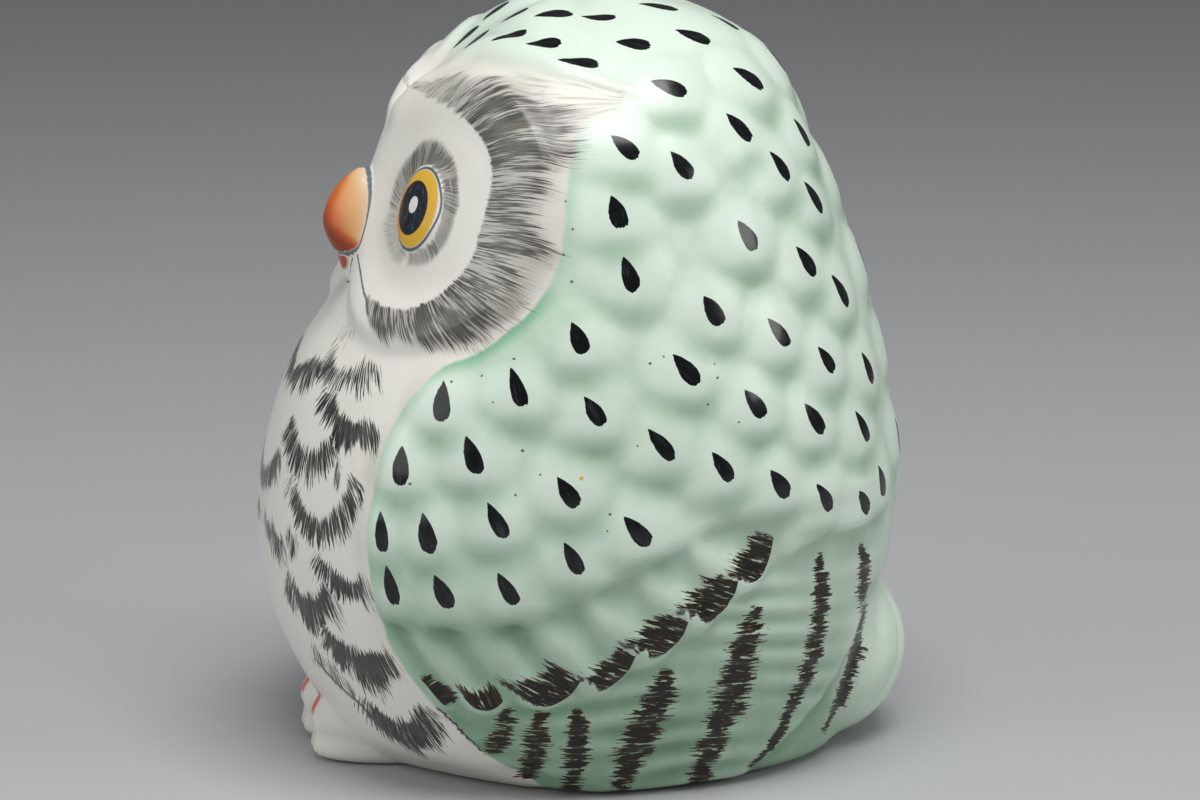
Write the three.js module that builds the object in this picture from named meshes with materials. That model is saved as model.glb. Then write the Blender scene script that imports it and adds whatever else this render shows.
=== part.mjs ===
// A slip-cast porcelain owl that sits upright on its flat underside.
// Millimetres, +Z up, origin at the middle of the underside.
// The owl faces -Y, its left side is +X, and it is the same on both sides.
//
// The casting is one closed skin. Every point of it is found along a ray that
// starts on the spine, an upright line inside the body: first the plain body, then
// the low relief of discs, brows, beak and feathers, then the feet and tail that
// swell out of it. Rays that point down start lower on the spine.

import * as THREE from 'three';

// Driving sizes
const SPINE = { middle: 62, halfLength: 28 };
const MESH_PITCH = 3.55;
const FACE_DETAIL = 0.2;
const SQUARENESS = 2.15;

// Near the floor the front half of the cross-section narrows: how square it ends, and the angles below level
const NARROW_BASE = { squareness: 1.6, from: 33, to: 45 };
const FOOT_EDGE_ROUNDING = 5;

// Outlines of the plain body as [reach from the axis, height], crown first
const BREAST_OUTLINE = [
  [0, 147.2], [11, 145.2], [22.8, 137.8], [32.4, 128], [37.4, 118], [41.1, 107], [43.5, 96], [48.3, 87],
  [54.5, 78], [59.1, 67], [62, 54], [62.5, 44], [60.4, 30], [56, 19], [51, 10], [46.5, 0], [42, -9],
];
const BACK_OUTLINE = [
  [0, 147.2], [12, 147], [23, 144.8], [31.5, 140.5], [38.8, 131.8], [45, 119], [50.1, 106], [55, 91.5],
  [58.6, 76.5], [61, 63], [61.6, 52], [60.9, 42], [59.3, 30], [56.5, 17], [53, 5], [49.5, -5],
];
const FLANK_OUTLINE = [
  [0, 147.2], [14, 145.6], [26, 141], [35.5, 133], [43, 122], [47.8, 108], [51.5, 92], [54.8, 77],
  [56.8, 62], [57.4, 47], [56.4, 33], [53.6, 20], [49, 8], [43.5, -3],
];

// Face: a round disc on each cheek, an eye in it, and a brow tuft over it
const DISC = { angle: 38, height: 112, halfWidth: 28.5, halfHeight: 27, dish: 1.2, rim: 1.7 };
const EYE = { angle: 37, height: 111.5, halfWidth: 8.6, halfHeight: 9.4, dome: 1.7 };
const BROW = {
  path: [[4, 126], [14, 134], [32, 139.5], [54, 140], [76, 137.6], [97, 133.2]],
  halfWidth: 5.6,
  lift: 1.3,
};
const BEAK = { height: 101.5, halfWidth: 6.8, above: 12, below: 4.5, reach: 7, rootHold: 0.3, tipHold: 0.62 };
const LOWER_BILL = { height: 97, halfWidth: 4.8, above: 4, below: 4.2, reach: 3.4, rootHold: 0, tipHold: 0 };

// Feet and tail
const FOOT = [
  { centre: [8, -37, 8], radii: [10, 18, 9] },
  { centre: [8, -37, 2], radii: [10, 18, 9] },
];
const TOE_CLEFT = { across: 8, halfWidth: 2.6, depth: 0.9, front: 48, top: 14 };
const TAIL = { centre: [0, 43.5, 17.5], radii: [27, 22.5, 20] };
const TAIL_FAN = { root: 52, pitch: 14, depth: 1.4, behind: 55, top: 32 };

// Wing: its front edge, the lower edges of its two rows of coverts, and its rear edge
const WING = { frontAngle: 40, waistHeight: 52, flare: 0.0103, shoulderHeight: 79, shoulderFlare: 0.05, lift: 1.6 };
const COVERTS = { height: 35, rise: 22, from: 58, to: 140, lift: 1.4 };
const SECONDARIES = { height: 22.5, rise: 30, from: 58, to: 135, lift: 1, tips: [50, 61, 73, 84, 94, 104, 114] };
const PRIMARIES = { pitch: 5.2, depth: 0.45, slant: 0.03 };
const WING_REAR = { angle: 150, height: 36, curl: 0.02, lift: 1.4, below: 38, fadeFrom: 125, fadeTo: 162 };

// Rows of body feathers on one side: angle and height of the first, how many, and the step to the next
const FEATHER_ROWS = [
  { angle: 162, height: 139, count: 2, turn: 16, drop: 9 },
  { angle: 139, height: 135, count: 3, turn: 15, drop: 12 },
  { angle: 109, height: 135, count: 6, turn: 12.7, drop: 7.7 },
  { angle: 92, height: 125, count: 2, turn: 14, drop: 3.6 },
  { angle: 89, height: 113.5, count: 2, turn: 16, drop: 1.5 },
  { angle: 120, height: 107.8, count: 5, turn: 13.5, drop: 6.8 },
  { angle: 91, height: 102.3, count: 7, turn: 14.6, drop: 6 },
  { angle: 80, height: 90.9, count: 7, turn: 16.2, drop: 5.6 },
  { angle: 53, height: 78.5, count: 1, turn: 0, drop: 0 },
  { angle: 68, height: 81.9, count: 9, turn: 12.5, drop: 4.6 },
  { angle: 60, height: 69.2, count: 3, turn: 15.5, drop: 7 },
  { angle: 46, height: 66, count: 3, turn: 16.5, drop: 7.8 },
  { angle: 52, height: 54, count: 2, turn: 15, drop: 9.7 },
  { angle: 43, height: 53.3, count: 2, turn: 12, drop: 10 },
  { angle: 45, height: 43.2, count: 1, turn: 0, drop: 0 },
  { angle: 108, height: 57, count: 6, turn: 14, drop: 1.2 },
];
const FEATHER = { lowered: 1.2, halfWidth: 9.6, above: 10.4, below: 8.6, lift: 1.8, fall: 0.74 };

const RADIANS = Math.PI / 180;

function smoothStep(low, high, value) {
  const part = THREE.MathUtils.clamp((value - low) / (high - low), 0, 1);
  return part * part * (3 - 2 * part);
}

// The larger of two values, with the corner between them rounded over `width`
function roundedMax(a, b, width) {
  const overlap = Math.max(width - Math.abs(a - b), 0);
  return Math.max(a, b) + (overlap * overlap) / (4 * width);
}

function roundedMin(a, b, width) {
  return -roundedMax(-a, -b, width);
}

function spineHeight(elevation) {
  return SPINE.middle + SPINE.halfLength * Math.sin(elevation);
}

// The elevation of the ray from the spine that passes through a reach and a height
function elevationThrough(reach, height) {
  let low = -Math.PI / 2;
  let high = Math.PI / 2;
  for (let step = 0; step < 40; step += 1) {
    const middle = (low + high) / 2;
    const above = spineHeight(middle) * Math.cos(middle) + reach * Math.sin(middle);
    if (above < height * Math.cos(middle)) {
      low = middle;
    } else {
      high = middle;
    }
  }
  return (low + high) / 2;
}

// Turns an outline into a smooth distance from the spine for any elevation
function outlineCurve(outline) {
  const knots = outline.map(([reach, height]) => {
    const angle = elevationThrough(reach, height);
    return { angle, distance: Math.hypot(reach, height - spineHeight(angle)) };
  });
  knots.reverse();
  const slopes = knots.map((knot, index) => {
    const before = knots[Math.max(index - 1, 0)];
    const after = knots[Math.min(index + 1, knots.length - 1)];
    return (after.distance - before.distance) / (after.angle - before.angle);
  });
  slopes[slopes.length - 1] = 0;
  return (angle) => {
    if (angle <= knots[0].angle) {
      return knots[0].distance;
    }
    let index = 0;
    while (index < knots.length - 2 && angle > knots[index + 1].angle) {
      index += 1;
    }
    const span = knots[index + 1].angle - knots[index].angle;
    const part = Math.min((angle - knots[index].angle) / span, 1);
    const rest = 1 - part;
    const start = knots[index].distance * (1 + 2 * part) + slopes[index] * span * part;
    const end = knots[index + 1].distance * (3 - 2 * part) - slopes[index + 1] * span * rest;
    return rest * rest * start + part * part * end;
  };
}

const breastCurve = outlineCurve(BREAST_OUTLINE);
const backCurve = outlineCurve(BACK_OUTLINE);
const flankCurve = outlineCurve(FLANK_OUTLINE);

// Distance along a ray to the plain body, before anything stands out of it
function bodyDistance({ way, elevation }) {
  const level = Math.hypot(way.x, way.y);
  const lengthways = way.y < 0 ? breastCurve(elevation) : backCurve(elevation);
  if (level < 1e-6) {
    return lengthways;
  }
  const sideways = flankCurve(elevation);
  const narrowing = way.y < 0 ? smoothStep(NARROW_BASE.from, NARROW_BASE.to, -elevation / RADIANS) : 0;
  const squareness = SQUARENESS + (NARROW_BASE.squareness - SQUARENESS) * narrowing;
  const across = (Math.abs(way.x) / level / sideways) ** squareness;
  const along = (Math.abs(way.y) / level / lengthways) ** squareness;
  return (across + along) ** (-1 / squareness);
}

// Distance along a ray to the far side of an ellipsoid, or 0 where the ray misses it
function swellDistance({ start, way }, { centre, radii }) {
  const from = [start.x - centre[0], start.y - centre[1], start.z - centre[2]];
  const towards = [way.x, way.y, way.z];
  let a = 0;
  let b = 0;
  let c = -1;
  for (let axis = 0; axis < 3; axis += 1) {
    a += (towards[axis] / radii[axis]) ** 2;
    b += (towards[axis] * from[axis]) / radii[axis] ** 2;
    c += (from[axis] / radii[axis]) ** 2;
  }
  const root = b * b - a * c;
  return root < 0 ? 0 : (Math.sqrt(root) - b) / a;
}

function rayTo(angle, elevation) {
  const level = Math.cos(elevation);
  return {
    elevation,
    start: new THREE.Vector3(0, 0, spineHeight(elevation)),
    way: new THREE.Vector3(Math.sin(angle) * level, -Math.cos(angle) * level, Math.sin(elevation)),
  };
}

function pointOnRay({ start, way }, distance) {
  return way.clone().multiplyScalar(distance).add(start);
}

function bodyPoint(angle, elevation) {
  const ray = rayTo(angle, elevation);
  return pointOnRay(ray, bodyDistance(ray));
}

// The point of the plain body at an angle round the axis and a height, with its
// directions sideways and downwards along the skin
function placeOnBody(angleInDegrees, height) {
  const angle = angleInDegrees * RADIANS;
  let low = -80 * RADIANS;
  let high = 90 * RADIANS;
  for (let step = 0; step < 40; step += 1) {
    const middle = (low + high) / 2;
    if (bodyPoint(angle, middle).z < height) {
      low = middle;
    } else {
      high = middle;
    }
  }
  const point = bodyPoint(angle, low);
  const down = bodyPoint(angle, low - 0.01).sub(bodyPoint(angle, low + 0.01)).normalize();
  const side = new THREE.Vector3(Math.cos(angle), Math.sin(angle), 0);
  return { point, side, down };
}

function featherPlaces() {
  const places = [];
  for (const row of FEATHER_ROWS) {
    for (let index = 0; index < row.count; index += 1) {
      const angle = Math.min(row.angle + index * row.turn, 180);
      places.push(placeOnBody(angle, row.height - index * row.drop));
    }
  }
  return places;
}

const feathers = featherPlaces();
const discPlace = placeOnBody(DISC.angle, DISC.height);
const eyePlace = placeOnBody(EYE.angle, EYE.height);
const beakPlace = placeOnBody(0, BEAK.height);
const lowerBillPlace = placeOnBody(0, LOWER_BILL.height);
const browPath = BROW.path.map(([angle, height]) => placeOnBody(angle, height).point);

// Each feather is a soft pillow that is fullest a little below its middle
function featherRelief(point) {
  let lift = 0;
  for (const { point: root, side, down } of feathers) {
    const offset = point.clone().sub(root);
    if (offset.lengthSq() > 200) {
      continue;
    }
    const across = offset.dot(side) / FEATHER.halfWidth;
    const drop = offset.dot(down) - FEATHER.lowered;
    const along = drop / (drop < 0 ? FEATHER.above : FEATHER.below);
    const pillow = Math.max(1 - FEATHER.fall * (across * across + along * along), 0);
    lift = roundedMax(lift, FEATHER.lift * pillow, 0.5);
  }
  return lift;
}

function wingFrontAngle(height) {
  const shoulder = Math.max(height - WING.shoulderHeight, 0);
  return WING.frontAngle + WING.flare * (height - WING.waistHeight) ** 2 + WING.shoulderFlare * shoulder ** 2;
}

function lowerEdge(row, angle) {
  return row.height + row.rise * smoothStep(row.from, row.to, angle);
}

function wingRearAngle(height) {
  return WING_REAR.angle - WING_REAR.curl * Math.min(height - WING_REAR.height, 0) ** 2;
}

// The wing's front edge stands proud of the breast, and below it each row of
// feathers lies deeper than the row over it, down to the quills and the rump
function wingRelief(angle, height) {
  const front = wingFrontAngle(height);
  const onWing = smoothStep(front - 3, front + 4, angle) * (1 - smoothStep(84, 100, height));
  const edge = WING.lift * onWing * (1 - smoothStep(front + 12, front + 45, angle));
  const covertEdge = lowerEdge(COVERTS, angle);
  const nearestTip = Math.min(...SECONDARIES.tips.map((tip) => Math.abs(tip - angle)));
  const secondaryEdge = lowerEdge(SECONDARIES, angle) + 0.05 * Math.min(nearestTip, 6) ** 2;
  const belowCoverts = 1 - smoothStep(covertEdge - 2.5, covertEdge + 2, height);
  const belowSecondaries = 1 - smoothStep(secondaryEdge - 2, secondaryEdge + 1.5, height);
  const ridge = Math.cos((2 * Math.PI * (height + PRIMARIES.slant * angle)) / PRIMARIES.pitch);
  const rear = wingRearAngle(height);
  const overRump = smoothStep(rear - 3, rear + 3, angle) * (1 - smoothStep(WING_REAR.below - 5, WING_REAR.below, height));
  const fade = 1 - smoothStep(WING_REAR.fadeFrom, WING_REAR.fadeTo, angle);
  const quills = PRIMARIES.depth * ridge * belowSecondaries * (1 - overRump);
  const deeper = COVERTS.lift * belowCoverts + SECONDARIES.lift * belowSecondaries - quills;
  return edge - onWing * (deeper * fade + WING_REAR.lift * overRump);
}

function discRelief(point) {
  const offset = point.clone().sub(discPlace.point);
  const across = offset.dot(discPlace.side) / DISC.halfWidth;
  const along = offset.dot(discPlace.down) / DISC.halfHeight;
  const out = Math.hypot(across, along);
  if (out > 1.6 || offset.length() > 45) {
    return 0;
  }
  const rim = smoothStep(0.55, 0.88, out) * (1 - smoothStep(0.92, 1.08, out));
  return DISC.rim * rim - DISC.dish * (1 - smoothStep(0.3, 0.8, out));
}

function eyeRelief(point) {
  const offset = point.clone().sub(eyePlace.point);
  const across = offset.dot(eyePlace.side) / EYE.halfWidth;
  const along = offset.dot(eyePlace.down) / EYE.halfHeight;
  const out = Math.min(across * across + along * along, 1);
  return offset.length() > 20 ? 0 : EYE.dome * Math.sqrt(1 - out);
}

// The brow is a ridge that runs from the beak over the eye and thins out behind it
function browRelief(point) {
  let nearest = Infinity;
  let travelled = 0;
  for (let index = 0; index < browPath.length - 1; index += 1) {
    const stretch = new THREE.Line3(browPath[index], browPath[index + 1]);
    const part = stretch.closestPointToPointParameter(point, true);
    const gap = stretch.at(part, new THREE.Vector3()).distanceTo(point);
    if (gap < nearest) {
      nearest = gap;
      travelled = (index + part) / (browPath.length - 1);
    }
  }
  const taper = 1 - 0.75 * travelled ** 2;
  return BROW.lift * taper * (1 - smoothStep(0.15, 1, nearest / (BROW.halfWidth * taper)));
}

// A beak half swells out of the face, and its tip end holds more of the swelling
function billRelief(point, place, { halfWidth, above, below, reach, rootHold, tipHold }) {
  const offset = point.clone().sub(place.point);
  const drop = offset.dot(place.down);
  const along = drop / (drop < 0 ? above : below);
  const across = offset.dot(place.side) / halfWidth;
  const out = across * across + along * along;
  const fullness = 1 - (drop < 0 ? rootHold : tipHold);
  const profile = 1 - across * across - fullness * along * along;
  return out > 1.6 || offset.length() > 20 ? 0 : Math.max(reach * profile, 0) * (1 - smoothStep(0.9, 1.25, out));
}

// The tail is a fan of feathers, parted by grooves that spread from a root over it
function tailGrooves(point) {
  const { root, pitch, depth, behind, top } = TAIL_FAN;
  const onTail = smoothStep(behind - 2, behind + 3, point.y) * (1 - smoothStep(top - 8, top, point.z));
  const turn = Math.atan2(point.x, root - point.z) / RADIANS;
  return depth * onTail * (0.5 - 0.5 * Math.cos((2 * Math.PI * turn) / pitch)) ** 3;
}

// Each foot has one shallow cleft between its toes
function toeCleft(point) {
  const { across, halfWidth, depth, front, top } = TOE_CLEFT;
  const onToes = smoothStep(front - 3, front + 2, -point.y) * (1 - smoothStep(top - 2, top + 4, point.z));
  return depth * onToes * (1 - smoothStep(0, halfWidth, Math.abs(point.x - across)));
}

// The point of the finished skin at an angle round the axis and an elevation
function skinPoint(angle, elevation) {
  const ray = rayTo(angle, elevation);
  let distance = bodyDistance(ray);
  const point = pointOnRay(ray, distance);
  const mirrored = new THREE.Vector3(Math.abs(point.x), point.y, point.z);
  const turn = Math.atan2(mirrored.x, -mirrored.y) / RADIANS;
  const beak = billRelief(mirrored, beakPlace, BEAK);
  distance += roundedMax(beak, billRelief(mirrored, lowerBillPlace, LOWER_BILL), 1);
  distance += discRelief(mirrored) + eyeRelief(mirrored) + browRelief(mirrored);
  distance += wingRelief(turn, mirrored.z) + featherRelief(mirrored);
  ray.way.x = Math.abs(ray.way.x);
  for (const lump of FOOT) {
    distance = roundedMax(distance, swellDistance(ray, lump), 2);
  }
  distance = roundedMax(distance, swellDistance(ray, TAIL), 3);
  const swollen = pointOnRay(ray, distance);
  distance -= tailGrooves(swollen) + toeCleft(swollen);
  if (elevation < 0) {
    distance = roundedMin(distance, ray.start.z / -ray.way.z, FOOT_EDGE_ROUNDING);
  }
  const skin = pointOnRay(ray, distance);
  return new THREE.Vector3(Math.sin(angle) < 0 ? -skin.x : skin.x, skin.y, skin.z);
}

// Rings of points from the crown to the middle of the underside, about one mesh
// pitch apart along the skin, and much wider apart on the flat underside
function skinRings() {
  const rings = [];
  let elevation = Math.PI / 2;
  let last = skinPoint(0, elevation);
  while (elevation > 0.1 - Math.PI / 2) {
    const flat = last.z < 0.01;
    const nudge = skinPoint(Math.PI / 2, elevation - 0.01);
    const stretch = nudge.distanceTo(last) / 0.01;
    elevation -= flat ? 0.12 : (MESH_PITCH * 0.87) / stretch;
    last = skinPoint(Math.PI / 2, elevation);
    const count = Math.round((2 * Math.PI * last.x) / MESH_PITCH / (last.z < 0.01 ? 2 : 1));
    rings.push({ elevation, count: Math.max(count, 8) });
  }
  return rings;
}

function pushTriangle(triangles, a, b, c) {
  triangles.push(a, b, c);
}

// Joins two rings with different numbers of points by one band of triangles
function joinRings(triangles, upper, lower) {
  let above = 0;
  let below = 0;
  while (above < upper.count || below < lower.count) {
    const aboveNow = upper.start + (above % upper.count);
    const belowNow = lower.start + (below % lower.count);
    const stepAbove = (above + 1) / upper.count <= (below + 1) / lower.count;
    if (below >= lower.count || (above < upper.count && stepAbove)) {
      pushTriangle(triangles, aboveNow, belowNow, upper.start + ((above + 1) % upper.count));
      above += 1;
    } else {
      pushTriangle(triangles, aboveNow, belowNow, lower.start + ((below + 1) % lower.count));
      below += 1;
    }
  }
}

function owlSkin() {
  const points = [];
  const triangles = [];
  const addPoint = (angle, elevation) => {
    const point = skinPoint(angle, elevation);
    points.push(point.x, point.y, Math.abs(point.z) < 1e-4 ? 0 : point.z);
    return points.length / 3 - 1;
  };
  const crown = addPoint(0, Math.PI / 2);
  let above = null;
  for (const { elevation, count } of skinRings()) {
    const ring = { start: points.length / 3, count };
    for (let index = 0; index < count; index += 1) {
      const turn = (2 * Math.PI * (index + 0.5)) / count;
      addPoint(turn - FACE_DETAIL * Math.sin(turn), elevation);
    }
    if (above === null) {
      for (let index = 0; index < count; index += 1) {
        pushTriangle(triangles, crown, ring.start + index, ring.start + ((index + 1) % count));
      }
    } else {
      joinRings(triangles, above, ring);
    }
    above = ring;
  }
  const middle = addPoint(0, -Math.PI / 2);
  for (let index = 0; index < above.count; index += 1) {
    pushTriangle(triangles, middle, above.start + ((index + 1) % above.count), above.start + index);
  }
  const skin = new THREE.BufferGeometry();
  skin.setAttribute('position', new THREE.Float32BufferAttribute(points, 3));
  skin.setIndex(triangles);
  skin.computeVertexNormals();
  return skin;
}

function glaze() {
  return new THREE.MeshStandardMaterial({ color: 0xbfdccb, roughness: 0.25, metalness: 0 });
}

const owl = new THREE.Mesh(owlSkin(), glaze());
owl.name = 'owl';

const figurine = new THREE.Group();
figurine.add(owl);

export default figurine;
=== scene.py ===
# %% [markdown]
# A painted porcelain owl
#
# The real object is one hollow casting, painted by hand with a fine brush and glazed. The
# imported model has its size and its main forms, in facets of three or four millimetres.
# Here the same skin is made again with a much finer mesh, and then it is painted: a mint
# glaze that pools in the hollows, with painted shade in the hollows and low down and painted
# light on the crown and the tail, black seeds, and many small hairs that a brush has left.
# Everything is measured on the owl in millimetres and turned into metres at the end.

# %% Load the imported model
import math
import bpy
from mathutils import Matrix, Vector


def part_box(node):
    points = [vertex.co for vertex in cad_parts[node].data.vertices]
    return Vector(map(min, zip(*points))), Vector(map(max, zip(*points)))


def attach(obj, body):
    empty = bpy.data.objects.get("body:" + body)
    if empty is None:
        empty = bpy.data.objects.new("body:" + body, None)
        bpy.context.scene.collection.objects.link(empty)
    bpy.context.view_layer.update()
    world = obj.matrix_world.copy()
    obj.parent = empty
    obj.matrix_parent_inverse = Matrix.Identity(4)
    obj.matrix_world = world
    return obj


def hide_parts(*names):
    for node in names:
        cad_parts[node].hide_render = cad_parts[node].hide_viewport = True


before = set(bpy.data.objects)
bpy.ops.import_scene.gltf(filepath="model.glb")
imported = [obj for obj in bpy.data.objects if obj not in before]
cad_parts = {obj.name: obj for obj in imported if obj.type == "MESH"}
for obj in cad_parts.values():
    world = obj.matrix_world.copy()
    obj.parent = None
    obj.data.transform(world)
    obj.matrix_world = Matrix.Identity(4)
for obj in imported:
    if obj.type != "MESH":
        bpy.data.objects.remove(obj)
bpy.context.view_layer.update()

from types import SimpleNamespace as Form

import bpy
import numpy as np
from mathutils import Vector

MM = 0.001
bpy.ops.object.select_all(action="DESELECT")
owl_low, owl_high = (np.array(corner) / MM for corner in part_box("owl"))
print("owl in mm:", np.round(owl_high - owl_low, 1))

# %% [markdown]
# The camera
#
# The view is almost square to the owl's left side and a little from above, through a long
# lens. The camera is placed by its angles round a point inside the owl.

# %% Camera
CAMERA_TURN = math.radians(80)
CAMERA_RISE = math.radians(12)
CAMERA_DISTANCE = 900 * MM
CAMERA_AIM = (0, 0, 70 * MM)
CAMERA_LENS = 137
SENSOR_WIDTH = 36
PICTURE_WIDTH = 1200
PICTURE_SHIFT = (22 / PICTURE_WIDTH, -10 / PICTURE_WIDTH)

camera = bpy.data.objects.new("camera", bpy.data.cameras.new("camera"))
bpy.context.scene.collection.objects.link(camera)
level = CAMERA_DISTANCE * math.cos(CAMERA_RISE)
camera.location = (
    CAMERA_AIM[0] + level * math.sin(CAMERA_TURN),
    CAMERA_AIM[1] - level * math.cos(CAMERA_TURN),
    CAMERA_AIM[2] + CAMERA_DISTANCE * math.sin(CAMERA_RISE),
)
camera.rotation_euler = (math.radians(90) - CAMERA_RISE, 0, CAMERA_TURN)
camera.data.lens = CAMERA_LENS
camera.data.sensor_width = SENSOR_WIDTH
camera.data.shift_x, camera.data.shift_y = PICTURE_SHIFT
bpy.context.scene.camera = camera
print("camera at", [round(value, 3) for value in camera.location])

# %% [markdown]
# Curves and outlines
#
# The skin is found along rays that start on an upright spine inside the owl. Outlines of
# the breast, the back and the flank say how far it is from the spine at each height, and
# between them the cross-section is a slightly squared oval, narrower in front near the
# floor. A smooth curve runs through the few points of each outline.

# %% Outlines of the plain body
SPINE_MIDDLE = 62
SPINE_HALF_LENGTH = 28
SQUARENESS = 2.15
NARROW_BASE = Form(squareness=1.6, start=33, end=45)
FOOT_EDGE_ROUNDING = 5
HALVINGS = 40
BREAST_OUTLINE = [
    (0, 147.2), (11, 145.2), (22.8, 137.8), (32.4, 128), (37.4, 118), (41.1, 107), (43.5, 96), (48.3, 87),
    (54.5, 78), (59.1, 67), (62, 54), (62.5, 44), (60.4, 30), (56, 19), (51, 10), (46.5, 0), (42, -9),
]
BACK_OUTLINE = [
    (0, 147.2), (12, 147), (23, 144.8), (31.5, 140.5), (38.8, 131.8), (45, 119), (50.1, 106), (55, 91.5),
    (58.6, 76.5), (61, 63), (61.6, 52), (60.9, 42), (59.3, 30), (56.5, 17), (53, 5), (49.5, -5),
]
FLANK_OUTLINE = [
    (0, 147.2), (14, 145.6), (26, 141), (35.5, 133), (43, 122), (47.8, 108), (51.5, 92), (54.8, 77),
    (56.8, 62), (57.4, 47), (56.4, 33), (53.6, 20), (49, 8), (43.5, -3),
]


def rise(low, high, value):
    """0 below low, 1 above high and smooth between."""
    part = np.clip((value - low) / (high - low), 0, 1)
    return part * part * (3 - 2 * part)


def fall(low, high, value):
    return 1 - rise(low, high, value)


def rounded_max(a, b, width):
    """The larger of two values, with the corner between them rounded over a width."""
    overlap = np.maximum(width - np.abs(a - b), 0)
    return np.maximum(a, b) + overlap**2 / (4 * width)


def spine_height(elevation):
    return SPINE_MIDDLE + SPINE_HALF_LENGTH * np.sin(elevation)


def halve(low, high, is_under):
    """Close in on the angle at which a point is no longer under its goal."""
    for _ in range(HALVINGS):
        middle = (low + high) / 2
        under = is_under(middle)
        low, high = np.where(under, middle, low), np.where(under, high, middle)
    return low, high


def elevation_through(reach, height):
    """The elevation of the ray that passes through a reach and a height."""

    def is_under(middle):
        above = spine_height(middle) * np.cos(middle) + reach * np.sin(middle)
        return above < height * np.cos(middle)

    quarter = np.full(np.shape(reach), math.pi / 2)
    low, high = halve(-quarter, quarter, is_under)
    return (low + high) / 2


def outline_curve(outline):
    """A smooth distance from the spine at any elevation, through an outline's points."""
    reach, height = np.array(outline, float).T[:, ::-1]
    knot = elevation_through(reach, height)
    distance = np.hypot(reach, height - spine_height(knot))
    slope = np.zeros_like(distance)
    slope[1:-1] = (distance[2:] - distance[:-2]) / (knot[2:] - knot[:-2])
    slope[0] = (distance[1] - distance[0]) / (knot[1] - knot[0])

    def curve(elevation):
        index = np.clip(np.searchsorted(knot, elevation) - 1, 0, len(knot) - 2)
        span = knot[index + 1] - knot[index]
        part = np.clip((elevation - knot[index]) / span, 0, 1)
        rest = 1 - part
        start = distance[index] * (1 + 2 * part) + slope[index] * span * part
        end = distance[index + 1] * (3 - 2 * part) - slope[index + 1] * span * rest
        return rest * rest * start + part * part * end

    return curve


outlines = (BREAST_OUTLINE, BACK_OUTLINE, FLANK_OUTLINE)
breast_curve, back_curve, flank_curve = (outline_curve(outline) for outline in outlines)


def ray_way(angle, elevation):
    level = np.cos(elevation)
    return np.stack([np.sin(angle) * level, -np.cos(angle) * level, np.sin(elevation)], -1)


def body_distance(angle, elevation):
    lengthways = np.where(np.cos(angle) > 0, breast_curve(elevation), back_curve(elevation))
    narrowing = rise(NARROW_BASE.start, NARROW_BASE.end, -np.degrees(elevation))
    narrowing = narrowing * (np.cos(angle) > 0)
    squareness = SQUARENESS + (NARROW_BASE.squareness - SQUARENESS) * narrowing
    across = (np.abs(np.sin(angle)) / flank_curve(elevation)) ** squareness
    along = (np.abs(np.cos(angle)) / lengthways) ** squareness
    return (across + along) ** (-1 / squareness)


def on_ray(way, elevation, distance):
    point = way * distance[..., None]
    point[..., 2] += spine_height(elevation)
    return point


def body_point(angle, elevation):
    angle, elevation = np.broadcast_arrays(np.asarray(angle, float), np.asarray(elevation, float))
    return on_ray(ray_way(angle, elevation), elevation, body_distance(angle, elevation))


print("breast and back at mid height:", np.round(body_point([0, math.pi], [0, 0])[:, 1], 1))

# %% [markdown]
# Places on the skin
#
# A feather, an eye or a brush mark is given by the angle round the upright axis, 0 at the
# beak and 90 at the left side, and by the height over the table. A place turns them into
# a point of the plain body with two directions, sideways to the back and straight down.

# %% Places on the skin
class Place:
    def __init__(self, degrees, height):
        angle = math.radians(degrees)
        span = math.radians(-80), math.radians(90)
        here = halve(*span, lambda middle: body_point(angle, middle)[2] < height)[0]
        self.point = body_point(angle, here)
        down = body_point(angle, here - 0.01) - body_point(angle, here + 0.01)
        self.down = down / np.linalg.norm(down)
        self.side = np.array([math.cos(angle), math.sin(angle), 0])

    def local(self, points):
        """How far points lie towards the back and down from here, and how far away."""
        offset = points - self.point
        return offset @ self.side, offset @ self.down, np.linalg.norm(offset, axis=-1)


def on_body(spots):
    return np.array([Place(*spot).point for spot in spots])


print("left side at eye height:", np.round(Place(90, 111.5).point, 1))

# %% [markdown]
# Low relief on the face
#
# Each form is one small function that returns a height over the plain body, so it can be
# tuned by itself. The face has a shallow disc on each cheek with a raised rim, a domed
# eye in it, a brow tuft over it, and a beak with a small cushion under it.

# %% Face relief
DISC = Form(place=Place(38, 112), half_width=28.5, half_height=27, dish=1.2, rim=1.7, near=45)
EYE = Form(place=Place(37, 111.5), half_width=8.6, half_height=9.4, dome=1.7, near=20)
BROW_PATH = [(4, 126), (14, 134), (32, 139.5), (54, 140), (76, 137.6), (97, 133.2)]
BROW_HALF_WIDTH = 5.6
BROW_LIFT = 1.3
BILL_NEAR = 20
BEAK = Form(place=Place(0, 101.5), half_width=6.8, above=12, below=4.5, reach=7, hold=(0.3, 0.62))
LOWER_BILL = Form(place=Place(0, 97), half_width=4.8, above=4, below=4.2, reach=3.4, hold=(0, 0))


def disc_relief(points):
    across, down, away = DISC.place.local(points)
    out = np.hypot(across / DISC.half_width, down / DISC.half_height)
    rim = rise(0.55, 0.88, out) * fall(0.92, 1.08, out)
    dish = fall(0.3, 0.8, out)
    return np.where(away < DISC.near, DISC.rim * rim - DISC.dish * dish, 0)


def eye_relief(points):
    across, down, away = EYE.place.local(points)
    out = (across / EYE.half_width) ** 2 + (down / EYE.half_height) ** 2
    return np.where(away < EYE.near, EYE.dome * np.sqrt(1 - np.minimum(out, 1)), 0)


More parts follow.
